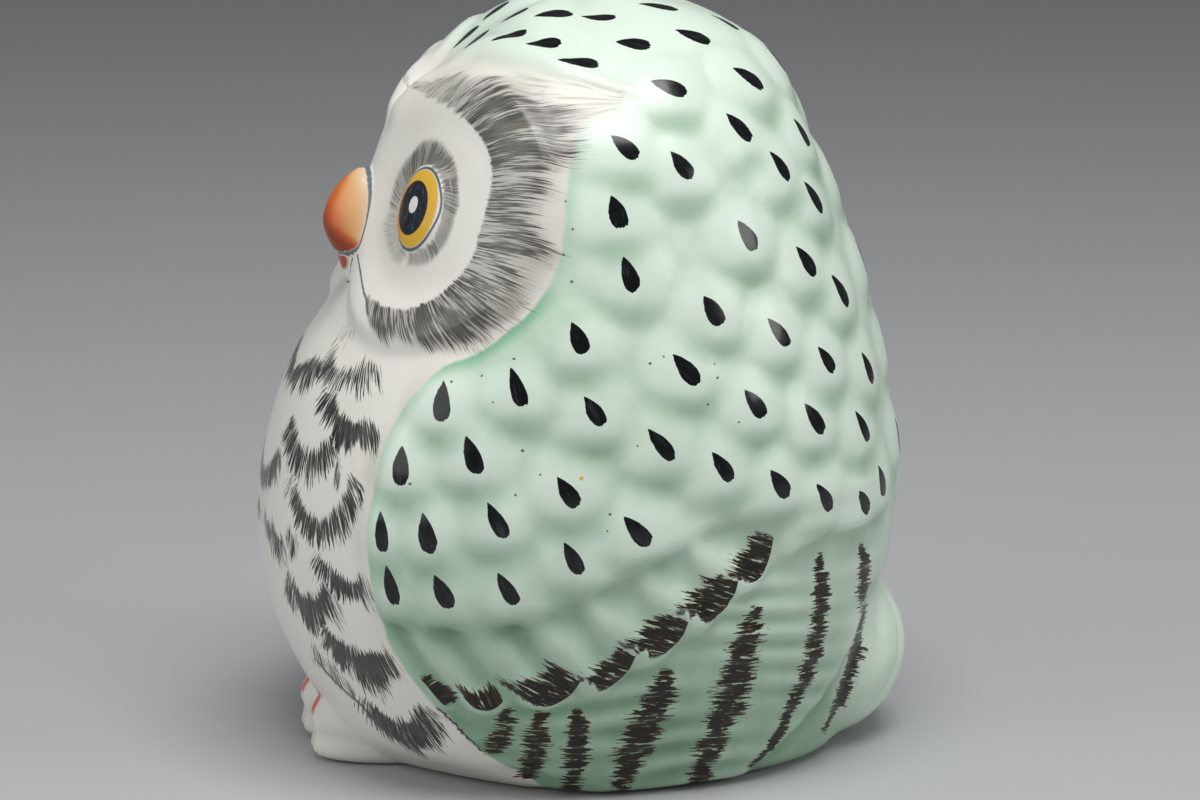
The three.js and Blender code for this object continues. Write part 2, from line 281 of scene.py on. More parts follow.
def nearest_on_path(points, path):
    """Distance from points to a path of 3D corners, and how far along it that is, 0 to 1."""
    nearest = np.full(len(points), np.inf)
    travelled = np.zeros(len(points))
    for index, (start, end) in enumerate(zip(path, path[1:])):
        way = end - start
        part = np.clip((points - start) @ way / (way @ way), 0, 1)
        gap = np.linalg.norm(points - start - part[:, None] * way, axis=1)
        closer = gap < nearest
        nearest = np.where(closer, gap, nearest)
        travelled = np.where(closer, (index + part) / (len(path) - 1), travelled)
    return nearest, travelled


brow_corners = on_body(BROW_PATH)


def brow_relief(points):
    gap, travelled = nearest_on_path(points, brow_corners)
    taper = 1 - 0.75 * travelled**2
    return BROW_LIFT * taper * fall(0.15, 1, gap / (BROW_HALF_WIDTH * taper))


def stretched(down, form):
    """A distance down from a place, as a share of what the form has above or below it."""
    return down / np.where(down < 0, form.above, form.below)


def bill_relief(points, bill):
    across, down, away = bill.place.local(points)
    across = across / bill.half_width
    along = stretched(down, bill)
    out = across**2 + along**2
    fullness = 1 - np.where(down < 0, *bill.hold)
    profile = np.maximum(1 - across**2 - fullness * along**2, 0)
    return np.where(away < BILL_NEAR, bill.reach * profile * fall(0.9, 1.25, out), 0)


# %% [markdown]
# Feathers on the body
#
# Every body feather is a soft scale that carries one black seed, so one list serves both:
# angle, height, and how many degrees the seed leans. A scale is fullest a little below
# its seed and falls away faster below than above. A rounded maximum laps the rows.

# %% Body feathers
BODY_SEEDS = [
    (107.1, 133.5, 58), (135.5, 133.8, 42), (165, 135, 8), (91.4, 123.9, 44), (123.4, 126, 30),
    (148.8, 122.6, 19), (180, 127, 0), (104.8, 120.4, 29), (132.8, 118.3, 27), (168, 112.5, 5),
    (88.6, 112.7, 15), (118.2, 107.1, 23), (142.5, 111.5, 27), (180, 105, 0), (90.6, 101.7, 15),
    (107.8, 94.5, 28), (133.2, 101, 31), (165, 97, 8), (80, 90.5, 21), (122.1, 89.4, 33),
    (143, 94.2, 27), (180, 88, 0), (68.7, 81.8, 20), (101.1, 84.5, 36), (133.4, 82.9, 31),
    (147.5, 79, 22), (168, 80, 5), (54.8, 78.6, 5), (82.9, 77.8, 33), (114.6, 77.3, 33),
    (127.9, 72.9, 31), (141.6, 69.1, 28), (180, 70.5, 0), (48.2, 66.8, 5), (61.2, 69.7, 21),
    (95.4, 71.4, 38), (107, 66.6, 33), (162, 63, 11), (78.1, 63.3, 33), (65.8, 58.2, 28),
    (118.5, 62.2, 33), (129, 58, 35), (140.6, 54.9, 38), (45.3, 54.6, 8), (53.7, 55.2, 14),
    (90.6, 55.8, 40), (147.6, 57.4, 22), (79, 51.2, 28), (47.2, 44.9, 15), (56.5, 44.8, 28),
    (67.6, 45.7, 30), (174, 54, 1),
]
FEATHER = Form(
    below_seed=1.2, half_width=9.6, above=10.4, below=8.6, lift=1.8, fall=0.74, near=14.1, lap=0.5
)

feathers = [Place(degrees, height) for degrees, height, _ in BODY_SEEDS]
print("feathers on each half:", len(feathers))


def feather_relief(points):
    lift = np.zeros(len(points))
    for feather in feathers:
        across, down, away = feather.local(points)
        down = down - FEATHER.below_seed
        along = stretched(down, FEATHER)
        out = (across / FEATHER.half_width) ** 2 + along**2
        pillow = FEATHER.lift * np.maximum(1 - FEATHER.fall * out, 0)
        lift = rounded_max(lift, np.where(away < FEATHER.near, pillow, 0), FEATHER.lap)
    return lift


# %% [markdown]
# The wing
#
# The wing's front edge stands proud of the breast. Below the last seeds the small feathers
# end in a soft step, under it lie long feathers that slant forward and end in round tips,
# and below those the flight feathers are only hinted at by low, uneven ridges.

# %% Wing relief
WING = Form(front=40, waist=52, flare=0.0103, shoulder=79, shoulder_flare=0.05, lift=1.6)
COVERTS = Form(height=37, rise=20, start=60, end=118, lift=1.3)
LONG_TIPS = [
    (51.6, 19.4), (61.5, 19.2), (73.6, 20.4), (84.6, 23.1),
    (95.4, 28.7), (105.3, 35), (114.4, 41.9), (125.2, 48.4),
]
LONG_FEATHERS = Form(slant=0.69, arch=0.6, lift=1.1, notch=0.05)
QUILL = Form(pitch=5.4, depth=0.46, slant=0.05, drift=1.2)
WING_REAR = Form(angle=150, height=36, curl=0.02, lift=1.4, below=38, fade=(125, 162))


def wing_front_angle(height):
    shoulder = np.maximum(height - WING.shoulder, 0)
    flare = WING.flare * (height - WING.waist) ** 2
    return WING.front + flare + WING.shoulder_flare * shoulder**2


def quill_ridges(degrees, height):
    drift = QUILL.drift * np.sin(degrees / 11 + height / 17)
    turns = (height + drift + QUILL.slant * degrees) / QUILL.pitch
    fullness = 0.6 + 0.4 * np.sin(degrees / 8 + height / 6)
    return QUILL.depth * fullness * np.cos(2 * math.pi * turns)


def wing_relief(degrees, height):
    front = wing_front_angle(height)
    on_wing = rise(front - 3, front + 4, degrees) * fall(84, 100, height)
    edge = WING.lift * on_wing * fall(front + 12, front + 45, degrees)
    covert_edge = COVERTS.height + COVERTS.rise * rise(COVERTS.start, COVERTS.end, degrees)
    tips = np.array(LONG_TIPS).T
    tip_gap = np.min([np.abs(degrees - tip) for tip in tips[0]], axis=0)
    long_edge = np.interp(degrees, *tips) + LONG_FEATHERS.notch * np.minimum(tip_gap, 6) ** 2
    below_coverts = fall(covert_edge - 2.5, covert_edge + 2, height)
    below_long = fall(long_edge - 1.6, long_edge + 1.2, height)
    slanted = degrees + LONG_FEATHERS.slant * (height - long_edge)
    which = np.interp(slanted, tips[0], np.arange(len(LONG_TIPS)))
    arches = LONG_FEATHERS.arch * np.cos(2 * math.pi * which) * below_coverts * (1 - below_long)
    rear = WING_REAR.angle - WING_REAR.curl * np.minimum(height - WING_REAR.height, 0) ** 2
    over_rump = rise(rear - 3, rear + 3, degrees)
    over_rump = over_rump * fall(WING_REAR.below - 5, WING_REAR.below, height)
    fade = fall(*WING_REAR.fade, degrees)
    quills = quill_ridges(degrees, height) * below_long * (1 - over_rump)
    deeper = COVERTS.lift * below_coverts + LONG_FEATHERS.lift * below_long - quills - arches
    return edge - on_wing * (deeper * fade + WING_REAR.lift * over_rump)


# %% [markdown]
# Feet, tail and underside
#
# Two feet and a short fan of a tail swell out of the body at the bottom. A foot is two egg
# shapes, one over the other, and the tail is one. Where a ray leaves an egg farther out
# than the body, the skin follows the egg. Soft grooves part the toes and the tail
# feathers, and the underside is flat with a rounded edge.

# %% Feet, tail and finished skin
FOOT = [Form(centre=(8, -37, height), radii=(10, 18, 9), join=2) for height in (8, 2)]
TOE_CLEFT = Form(across=8, half_width=2.6, depth=0.9, front=48, top=14)
TAIL = Form(centre=(0, 43.5, 17.5), radii=(27, 22.5, 20), join=3)
TAIL_FAN = Form(root=52, pitch=14, depth=1.4, behind=55, top=32)


def swell_distance(way, elevation, lump):
    """Distance along a ray to the far side of an egg shape, or 0 where it misses."""
    start = np.zeros_like(way)
    start[:, 2] = spine_height(elevation)
    start -= lump.centre
    radii = np.array(lump.radii, float)
    a = ((way / radii) ** 2).sum(1)
    b = (way * start / radii**2).sum(1)
    c = ((start / radii) ** 2).sum(1) - 1
    root = b * b - a * c
    return np.where(root < 0, 0, (np.sqrt(np.maximum(root, 0)) - b) / a)


def groove_depth(points):
    x, y, z = points.T
    on_tail = rise(TAIL_FAN.behind - 2, TAIL_FAN.behind + 3, y)
    on_tail = on_tail * fall(TAIL_FAN.top - 8, TAIL_FAN.top, z)
    fan_angle = np.degrees(np.arctan2(x, TAIL_FAN.root - z))
    fan = (0.5 - 0.5 * np.cos(2 * math.pi * fan_angle / TAIL_FAN.pitch)) ** 3
    on_toes = rise(TOE_CLEFT.front - 3, TOE_CLEFT.front + 2, -y)
    on_toes = on_toes * fall(TOE_CLEFT.top - 2, TOE_CLEFT.top + 4, z)
    cleft = fall(0, TOE_CLEFT.half_width, np.abs(x - TOE_CLEFT.across))
    return TAIL_FAN.depth * on_tail * fan + TOE_CLEFT.depth * on_toes * cleft


def skin(angle, elevation):
    """Points of the finished skin, of the plain body under it, and the relief between."""
    way = ray_way(angle, elevation)
    plain = body_distance(angle, elevation)
    body = on_ray(way, elevation, plain)
    half = body.copy()
    half[:, 0] = np.abs(half[:, 0])
    degrees = np.degrees(np.arctan2(half[:, 0], -half[:, 1]))
    beak = rounded_max(bill_relief(half, BEAK), bill_relief(half, LOWER_BILL), 1)
    relief = beak + disc_relief(half) + eye_relief(half) + brow_relief(half)
    relief = relief + wing_relief(degrees, half[:, 2]) + feather_relief(half)
    distance = plain + relief
    way_half = way.copy()
    way_half[:, 0] = np.abs(way_half[:, 0])
    for lump in (*FOOT, TAIL):
        distance = rounded_max(distance, swell_distance(way_half, elevation, lump), lump.join)
    distance = distance - groove_depth(on_ray(way_half, elevation, distance))
    floor_distance = spine_height(elevation) / np.maximum(-way[:, 2], 1e-6)
    flat = -rounded_max(-distance, -floor_distance, FOOT_EDGE_ROUNDING)
    distance = np.where(elevation < 0, flat, distance)
    return on_ray(way, elevation, distance), half, relief


# %% [markdown]
# The mesh
#
# A cube with finely cut faces wraps a round body without poles. Its bottom face is taken
# out before the cutting and put back as a plain fan, because the underside is flat. The
# cube's columns become angles round the owl and its rows elevations, and then every
# vertex slides along its ray to the skin.

# %% The owl's mesh
CUTS = ((9, 13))
CAP_ELEVATION = math.radians(38)
UNDERSIDE_ELEVATION = math.radians(-47)
CUBE_FACE = 0.9999

bpy.ops.mesh.primitive_cube_add(size=2)
owl = bpy.context.active_object
owl.name = "owl_painted"
bpy.ops.object.mode_set(mode="EDIT")
bpy.ops.mesh.select_mode(type="FACE")
bpy.ops.mesh.select_all(action="DESELECT")
bpy.ops.object.mode_set(mode="OBJECT")
for face in owl.data.polygons:
    face.select = face.normal.z < -0.5
bpy.ops.object.mode_set(mode="EDIT")
bpy.ops.mesh.delete(type="ONLY_FACE")
bpy.ops.mesh.select_all(action="SELECT")
for cuts in CUTS:
    bpy.ops.mesh.subdivide(number_cuts=cuts)
bpy.ops.mesh.select_mode(type="EDGE")
bpy.ops.mesh.select_all(action="DESELECT")
bpy.ops.mesh.select_non_manifold()
bpy.ops.mesh.edge_face_add()
bpy.ops.mesh.poke()
bpy.ops.mesh.select_all(action="SELECT")
bpy.ops.mesh.normals_make_consistent(inside=False)
bpy.ops.object.mode_set(mode="OBJECT")


def cube_directions(corner):
    """Angle round the owl and elevation for each point of the cut cube."""
    x, y, z = corner.T
    ring = np.maximum(np.maximum(np.abs(x), np.abs(y)), 1e-9)
    off_middle = ring > 1e-6
    sideways = (np.abs(x) >= np.abs(y)) & off_middle
    turn_x = np.where(x < 0, math.pi, 0) + math.pi / 4 * y / np.where(sideways, x, 1)
    lengthways = np.where(sideways | ~off_middle, 1, y)
    turn_y = np.where(y < 0, math.pi, 0) + math.pi / 2 - math.pi / 4 * x / lengthways
    turn = np.where(sideways, turn_x, turn_y)
    angle = turn + math.pi / 2
    side_rows = UNDERSIDE_ELEVATION + (CAP_ELEVATION - UNDERSIDE_ELEVATION) * (z + 1) / 2
    cap_rings = math.pi / 2 - (math.pi / 2 - CAP_ELEVATION) * ring
    elevation = np.where(z > CUBE_FACE, cap_rings, side_rows)
    elevation = np.where((z < -CUBE_FACE) & (ring < 0.5), -math.pi / 2, elevation)
    return angle, elevation


corner = np.empty(len(owl.data.vertices) * 3)
owl.data.vertices.foreach_get("co", corner)
points, body_half, relief = skin(*cube_directions(corner.reshape(-1, 3)))
points = np.clip(points, owl_low, owl_high)
owl.data.vertices.foreach_set("co", (points * MM).ravel())
owl.data.update()
bpy.ops.object.shade_smooth()
triangles = sum(len(face.vertices) - 2 for face in owl.data.polygons)
print("owl triangles:", triangles, "size in mm:", np.round(np.ptp(points, axis=0), 1))

# %% [markdown]
# Reading the mesh for the painter
#
# The marks are much finer than the mesh, so they can't be coloured vertex by vertex. The
# mesh carries coordinates instead: how far a spot lies across and along the nearest mark.
# The material draws a crisp edge or single hairs from them. Each face belongs to one mark
# and keeps its values by corner, so that two marks can meet without mixing.

# %% Corners and charts
FAR = 9.0
CHEEK_CHART_SIZE = 48
OFF_CHART = 999

corner_vertex = np.empty(len(owl.data.loops), int)
owl.data.loops.foreach_get("vertex_index", corner_vertex)
face_start = np.empty(len(owl.data.polygons), int)
owl.data.polygons.foreach_get("loop_start", face_start)
face_size = np.diff(np.append(face_start, len(corner_vertex)))

degrees = np.degrees(np.arctan2(body_half[:, 0], -body_half[:, 1]))
flank_chart = np.stack([degrees, body_half[:, 2]], 1)
cheek_across, cheek_down, cheek_away = DISC.place.local(body_half)
cheek_chart = np.stack([cheek_across, -cheek_down], 1)
cheek_chart[cheek_away > CHEEK_CHART_SIZE] = OFF_CHART


def best_of_face(value):
    return np.maximum.reduceat(value[corner_vertex], face_start)


def to_corners(face_mask):
    return np.repeat(face_mask, face_size)


def claim(value, best, marks, spot):
    """Give a mark each face on which its value beats those of the marks so far."""
    better = value > best
    best[better] = value[better]
    chosen = to_corners(better)
    marks[chosen] = spot[corner_vertex[chosen]]
    return chosen


print("face corners:", len(corner_vertex))

# %% [markdown]
# Where the green glaze ends
#
# The back, the wings and the crown are green, and the breast, the feet, the cheeks and the
# brow tufts are white. The edge runs over the brow to the tip of its tuft, back under it,
# round the cheek and down the front of the wing. The mesh keeps a signed distance to it,
# from which the material makes a soft rim of darker green.

# %% Edge of the green glaze
GLAZE_EDGE = [
    (-8, 137), (3, 137), (24.5, 136.7), (37.1, 138.1), (55.6, 138.1), (69.3, 136.7), (81.9, 135.4),
    (93.5, 133.3), (88.6, 130), (81, 127.3), (79, 123.9), (77.6, 118.4), (77.1, 112.7), (76.1, 105),
    (73.1, 98.8), (68.2, 93.6), (60.9, 87.7), (53.4, 84.2), (48.2, 79.1), (44.2, 73.2), (42.9, 65.2),
    (42.2, 53.3), (43.5, 41.8), (44.7, 31.6), (48.7, 25), (52.6, 19.3), (58.9, 10.6), (67, 4.6),
    (78, -4),
]


def smooth_path(knots, samples=6):
    """Rows of numbers on a smooth curve through the given rows."""
    knots = np.array(knots, float)
    padded = np.vstack([2 * knots[0] - knots[1], knots, 2 * knots[-1] - knots[-2]])
    rows = []
    for before, start, end, after in zip(padded, padded[1:], padded[2:], padded[3:]):
        for part in np.arange(samples) / samples:
            bend = 2 * before - 5 * start + 4 * end - after
            turn = 3 * start - before - 3 * end + after
            rows.append(start + 0.5 * part * (end - before + part * (bend + part * turn)))
    return np.array(rows + [knots[-1]])


def inside(points, polygon):
    odd = np.zeros(len(points), bool)
    x, y = points.T
    for (x0, y0), (x1, y1) in zip(polygon, np.roll(polygon, -1, axis=0)):
        if y0 != y1:
            odd ^= ((y0 > y) != (y1 > y)) & (x < (x1 - x0) * (y - y0) / (y1 - y0) + x0)
    return odd


glaze_edge = smooth_path(GLAZE_EDGE)
white_area = np.vstack([glaze_edge, [(78, -30), (-30, -30), (-30, 137)]])
edge_gap = nearest_on_path(body_half, on_body(glaze_edge))[0]
on_white = inside(flank_chart, white_area)
green_side = np.where(on_white, -edge_gap, edge_gap)
print("white share of the vertices:", round(float(on_white.mean()), 2))

# %% [markdown]
# Where the glaze pools, and painted shade in the hollows
#
# A molten glaze runs off the crests and gathers in the hollows, where it is thicker and
# greener, and the darker green put there is also painted shade in part. The relief is spread
# over its neighbours again and again, and where the real relief is lower than the spread one,
# there is a hollow.

# %% Pools of glaze
POOL_SPREAD_ROUNDS = 80
# Under each body seed, a darker green patch below its scale's lower edge: painted shade of that edge, with
# some glaze pooled there.
SEED_POOL_AND_SHADE = Form(behind=0.3, below=7.4, half_width=5.4, half_height=2.6)

edge_ends = np.empty(len(owl.data.edges) * 2, int)
owl.data.edges.foreach_get("vertices", edge_ends)
edge_a, edge_b = edge_ends.reshape(-1, 2).T
neighbours = np.bincount(edge_ends, minlength=len(points))


def spread(values, rounds):
    for _ in range(rounds):
        total = np.bincount(edge_a, values[edge_b], len(points))
        total += np.bincount(edge_b, values[edge_a], len(points))
        values = 0.5 * values + 0.5 * total / neighbours
    return values


hollow = spread(relief, POOL_SPREAD_ROUNDS) - relief
print("deepest hollow in mm:", round(float(hollow.max()), 2))

# %% [markdown]
# The black seeds
#
# Each body feather carries one stroke of black glaze, which starts in a point at the top
# and ends round or blunt. The strokes lean a little, and on the crown they lie lengthwise.
# The right half has the same seeds, each moved and turned a little by chance.

# %% Seeds
SEED_HALF_LENGTH = 3.4
SEED_HALF_WIDTH = 1.62
SEED_NUDGE = np.array([1.2, 1, 6])
CROWN_SEEDS = [
    (11.9, 139.9), (46.2, 141.8), (65.5, 141.4), (80, 138.5), (25.6, 144.7), (62.4, 145.8),
    (93.4, 145.1), (135.4, 146.7), (103, 141.4), (128.9, 142.2), (160, 143),
]
CROWN_TURN = 168

rng = np.random.default_rng(7)
seed_spot = np.full((len(corner_vertex), 3), FAR)
seed_best = np.full(len(face_start), -FAR)
seed_pool_and_shade = np.zeros(len(points))
left_half = points[:, 0] >= 0


def plant_seed(degrees, height, lean, number, with_pool_and_shade):
    for on_left in (True, False):
        nudge = (0, 0, 0) if on_left or degrees == 180 else rng.uniform(-SEED_NUDGE, SEED_NUDGE)
        place = Place(degrees + nudge[0], height + nudge[1])
        across, down, away = place.local(body_half)
        turn = math.radians(lean + nudge[2])
        along = down * math.cos(turn) + across * math.sin(turn)
        beside = across * math.cos(turn) - down * math.sin(turn)
        half_length = SEED_HALF_LENGTH * rng.uniform(0.9, 1.12)
        half_width = SEED_HALF_WIDTH * rng.uniform(0.88, 1.12)
        spot = np.stack([beside / half_width, along / half_length, np.full_like(along, number)], 1)
        near = (away < FAR) & (left_half == on_left)
        gap = np.where(near, np.hypot(spot[:, 0], spot[:, 1]), FAR)
        claim(best_of_face(-gap), seed_best, seed_spot, spot)
        # Painted shade below each scale's lower edge, partly glaze pooled there too.
        if with_pool_and_shade:
            pool_across = (across - SEED_POOL_AND_SHADE.behind) / SEED_POOL_AND_SHADE.half_width
            pool_down = (down - SEED_POOL_AND_SHADE.below + pool_across**2) / SEED_POOL_AND_SHADE.half_height
            pool = np.exp(-(pool_across**2) - pool_down**2) * (left_half == on_left)
            np.maximum(seed_pool_and_shade, pool, out=seed_pool_and_shade)


for number, (seed_degrees, seed_height, lean) in enumerate(BODY_SEEDS):
    plant_seed(seed_degrees, seed_height, lean, number, True)
for number, (seed_degrees, seed_height) in enumerate(CROWN_SEEDS):
    plant_seed(seed_degrees, seed_height, CROWN_TURN - seed_degrees, number + len(BODY_SEEDS), False)
print("seeds on each half:", len(BODY_SEEDS) + len(CROWN_SEEDS))

# %% [markdown]
# Hairs from a fine brush
#
# The breast, the cheeks and the lower wing are painted with bundles of hairs. A bundle is
# like a row of grass, with a root line, a lean at each point of it and a reach to either
# side. Combing finds for every vertex the root that its hair grows from and how far along
# the hair it lies. The material then needs only a noise that is fine across the hairs. A
# row's spots have x, y, lean, reach before and after the root line, and strength, and an
# ink is three shares: how brown, how soft and how opaque it is.

# %% Combing
ROW_SHIFT = 37
START_MARGIN = 3
ROW_END_FADE = (-0.01, 1.2)

hair_spot = np.zeros((len(corner_vertex), 3))
hair_ink = np.zeros((len(corner_vertex), 3))
hair_best = np.zeros(len(face_start))


def wobble(values, pitch, number):
    """A smooth random value from -1 to 1 that changes about once a pitch."""
    knots = np.random.default_rng(number).uniform(-1, 1, 400)
    place = np.clip(values / pitch, 0, 398)
    index = place.astype(int)
    part = rise(0, 1, place - index)
    return knots[index] * (1 - part) + knots[index + 1] * part


def comb(chart, row):
    """Root distance, distance along the hair, reaches and strength at each chart point."""
    x, y, lean, before, after, strength = smooth_path(row, 8).T
    step = np.hypot(np.diff(x), np.diff(y))
    travelled = np.concatenate([[0], np.cumsum(step)])
    way_x, way_y = np.cos(np.radians(lean)), np.sin(np.radians(lean))
    margin = max(before.max(), after.max()) + 2
    near = (chart[:, 0] > x.min() - margin) & (chart[:, 0] < x.max() + margin)
    near &= (chart[:, 1] > y.min() - margin) & (chart[:, 1] < y.max() + margin)
    index = np.nonzero(near)[0]
    gap_x = chart[index, 0][:, None] - x
    gap_y = chart[index, 1][:, None] - y
    off = gap_x * way_y - gap_y * way_x
    crossing = off[:, :-1] * off[:, 1:] <= 0
    cost = np.where(crossing, gap_x[:, :-1] ** 2 + gap_y[:, :-1] ** 2, np.inf)
    pick = cost.argmin(1)
    found = np.isfinite(cost.min(1))
    index, pick = index[found], pick[found]
    off_here, off_next = off[found, pick], off[found, pick + 1]
    part = off_here / (off_here - off_next + 1e-12)

    def between(values):
        return values[pick] * (1 - part) + values[pick + 1] * part

    root = between(travelled)
    along = (chart[index, 0] - between(x)) * between(way_x)
    along += (chart[index, 1] - between(y)) * between(way_y)
    ends = rise(*ROW_END_FADE, root) * rise(*ROW_END_FADE, travelled[-1] - root)
    return index, root, along, between(before), between(after), between(strength) * ends


def paint_hairs(chart, row, number, ink, core=0.25, bunch=0.3, bunch_pitch=2.2):
    index, root, along, before, after, strength = comb(chart, row)
    bunching = 1 + bunch * wobble(root, bunch_pitch, number)
    one_sided = before < 0.01
    reach = np.where(along < 0, np.where(one_sided, 1, before), after) * bunching
    fade = fall(core, 1, np.abs(along) / reach)
    fade = np.where(one_sided & (along < 0), np.where(along > -1.5, 1, 0), fade)
    spot = np.zeros((len(points), 3))
    hair_along = along + np.where(one_sided, 0, before + START_MARGIN)
    spot[index] = np.stack([root + ROW_SHIFT * number, hair_along, strength * fade], 1)
    visible = np.zeros(len(points))
    visible[index] = np.where(one_sided & (along < -0.8), 0.001, strength * fade)
    chosen = claim(best_of_face(visible), hair_best, hair_spot, spot)
    hair_ink[chosen] = ink


# %% [markdown]
# Hairs on the cheek
#
# Round each cheek runs a grey wash with darker hairs over it. They stand straight out at
# the back of the cheek, fan down under it, and over the eye they sweep up and bend back
# into the brow tuft. A second, softer ring of fine hairs frames the eye.

# %% Cheek hairs
CHEEK_RING = [
    (-31, 20.5, 8, 1, 6.5, 0.33), (-18, 21, 14, 1, 7.2, 0.47), (-11.6, 20.7, 28, 1, 9.1, 0.57),
    (-6.4, 20, 40, 1, 11.1, 0.59), (-1.4, 19.4, 42, 1, 13, 0.59), (4.2, 17.9, 34, 1, 17.6, 0.75),
    (9.1, 15.7, 24, 1, 21.4, 0.98), (12.1, 13.4, 17, 1, 21.4, 1), (14.6, 10.5, 9, 1, 19.9, 0.88),
    (15.8, 6.7, 4, 1, 17, 0.74), (15.9, 1.8, 1, 1, 16.2, 0.73), (15.5, -3.2, -2, 1, 17.6, 0.88),
    (15.1, -7.2, -7, 1, 17.6, 0.71), (13.3, -11.3, -14, 1, 17.5, 0.76),
    (11.1, -14.3, -25, 1, 16.5, 0.85), (8, -17.4, -38, 1, 15.7, 0.85), (4.5, -19.4, -48, 1, 12.3, 0.95),
    (0.2, -20.6, -55, 1, 9.9, 0.95), (-4.2, -20.6, -60, 1, 8.6, 0.9), (-8.5, -19.6, -66, 1, 6.5, 0.8),
    (-11.7, -18.3, -72, 0.6, 3.4, 0.6),
]
TUFT_HAIRS = [
    (16.2, 25.1, 12, 1, 10, 0.22), (18.4, 21.2, 12, 1, 11, 0.3), (19.7, 17.7, 16, 1, 12, 0.38),
    (20.7, 15, 20, 1, 11, 0.5),
]
CHEEK_INK = (0.3, 0.7, 0.94)
TUFT_INK = (0.5, 0.5, 0.6)
EYE_FUZZ_INK = (0.1, 1, 0.78)

paint_hairs(cheek_chart, CHEEK_RING, 1, CHEEK_INK, core=0.42, bunch=0.22, bunch_pitch=3.2)
paint_hairs(cheek_chart, TUFT_HAIRS, 2, TUFT_INK, core=0.1)

EYE_CENTRE = (-2, -0.6)
EYE_FUZZ = Form(half_width=8.4, half_height=9.3, lean=-16)
EYE_FUZZ_REACH = [
    (-100, 3.6, 0.45), (-45, 3.3, 0.55), (0, 3.2, 0.8), (45, 4.2, 1), (90, 5.4, 1.1), (125, 5.8, 1),
    (150, 6, 0.7), (180, 6, 0.5), (220, 5.6, 0.45), (260, 3.6, 0.45),
]

fuzz_row = []
for around, reach, dark in EYE_FUZZ_REACH:
    x = EYE_CENTRE[0] + EYE_FUZZ.half_width * math.cos(math.radians(around))
    y = EYE_CENTRE[1] + EYE_FUZZ.half_height * math.sin(math.radians(around))
    fuzz_row.append((x, y, around + EYE_FUZZ.lean, 1, reach, dark))
paint_hairs(cheek_chart, fuzz_row, 3, EYE_FUZZ_INK, core=0.4, bunch=0.15)
print("spots round the eye:", len(fuzz_row))

# %% [markdown]
# Hairs on the breast
#
# The breast has no modelled feathers. The painter only hinted at them: each is a white
# oval over a curved row of dark hairs that fan out downwards. A row is a few spots on the
# flank chart, each an angle, a height and how dark the hairs are there.

# %% Breast hairs
BREAST_HAIRS = Form(fan=14, up=3.4, down=6.6, fuller_below=42, fuller=1.2)
BREAST_INK = (0.25, 0.4, 1)
BREAST_NUMBER = 10
BREAST_ROWS = [
    [(13.2, 84.2, 0.3), (17, 86.2, 0.4), (23.8, 88.7, 0.3)],
    [(15.9, 83.7, 0.6), (19.5, 80.7, 0.8), (24.2, 78.7, 0.85), (29, 80.3, 0.6), (33.9, 81.3, 0.7),
     (38.7, 81.5, 0.4)],
    [(-6, 73.5, 0.8), (2.2, 75.9, 0.95), (8.5, 77.6, 0.95), (13, 78.7, 0.9), (18.6, 81.2, 0.5)],
    [(21.8, 77.7, 0.6), (26, 74.7, 0.85), (29.9, 71.5, 1), (34.7, 70.7, 0.95), (41.5, 71.4, 0.8)],
    [(10.2, 68.9, 0.8), (14.7, 66.2, 0.9), (18.4, 63.9, 0.9), (22.1, 63.3, 0.75), (26, 64.5, 0.9),
     (31.8, 69.2, 0.6)],
    [(17.9, 60.9, 0.5), (20.2, 56.9, 0.7), (23.5, 53.2, 0.95), (27.9, 51.7, 0.9), (32.2, 53.3, 0.9),
     (35.3, 57.3, 0.85), (37.3, 63.3, 0.6)],
    [(31.3, 66.2, 0.6), (32.7, 62.2, 0.85), (33.2, 58.3, 0.6)],
    [(-6, 54.5, 0.8), (0.6, 55.6, 1), (7.4, 58.6, 1), (11.9, 62.5, 0.8)],
    [(2.4, 48.9, 0.6), (10.4, 47, 0.85), (14.8, 45.4, 0.9), (18.4, 46, 0.6)],
    [(17, 48.3, 0.5), (20.3, 47.5, 0.7), (23.1, 49, 0.4)],
    [(26.4, 46.8, 0.5), (30.8, 43.6, 0.85), (34.7, 42, 1), (39.5, 42.2, 0.85), (43.5, 44, 0.4)],
    [(16.3, 40.2, 0.5), (19.5, 37.2, 0.7), (23.3, 35, 0.95), (27, 35.6, 0.85), (29.9, 38.5, 0.85),
     (32.3, 41.4, 0.4)],
    [(26.6, 32.1, 0.5), (30, 29.2, 0.9), (34.9, 26.8, 0.85), (38.7, 26, 1), (42.6, 28.1, 0.85),
     (45.2, 30.2, 0.4)],
    [(20.8, 27.3, 0.4), (24.6, 24.2, 0.5), (29.3, 21.8, 0.5), (33.1, 19.3, 0.3)],
    [(31.3, 18.8, 0.4), (36.1, 15.2, 0.75), (40, 13.3, 0.9), (43.8, 13.2, 0.95), (47.6, 15.7, 0.95),
     (51.6, 19.2, 0.4)],
]

for number, spots in enumerate(BREAST_ROWS, BREAST_NUMBER):
    middle = np.mean(spots, axis=0)
    fuller = BREAST_HAIRS.fuller if middle[1] < BREAST_HAIRS.fuller_below else 1
    reaches = (BREAST_HAIRS.up * fuller, BREAST_HAIRS.down * fuller)
    row = []
    for x, y, dark in spots:
        lean = math.degrees(math.atan2(y - middle[1] - BREAST_HAIRS.fan, x - middle[0]))
        row.append((x, y, lean, *reaches, dark * fuller))
    paint_hairs(flank_chart, row, number, BREAST_INK, core=0.15)
print("rows of breast hairs:", len(BREAST_ROWS))

# %% [markdown]
# Dabs and bars on the wing
#
# Seven of the long feathers end in a dark dab with a clean lower edge and a ragged upper
# one, and seven upright bars of short level strokes cross the flight feathers below. A
# spot is an angle, a height and the length of the hairs.

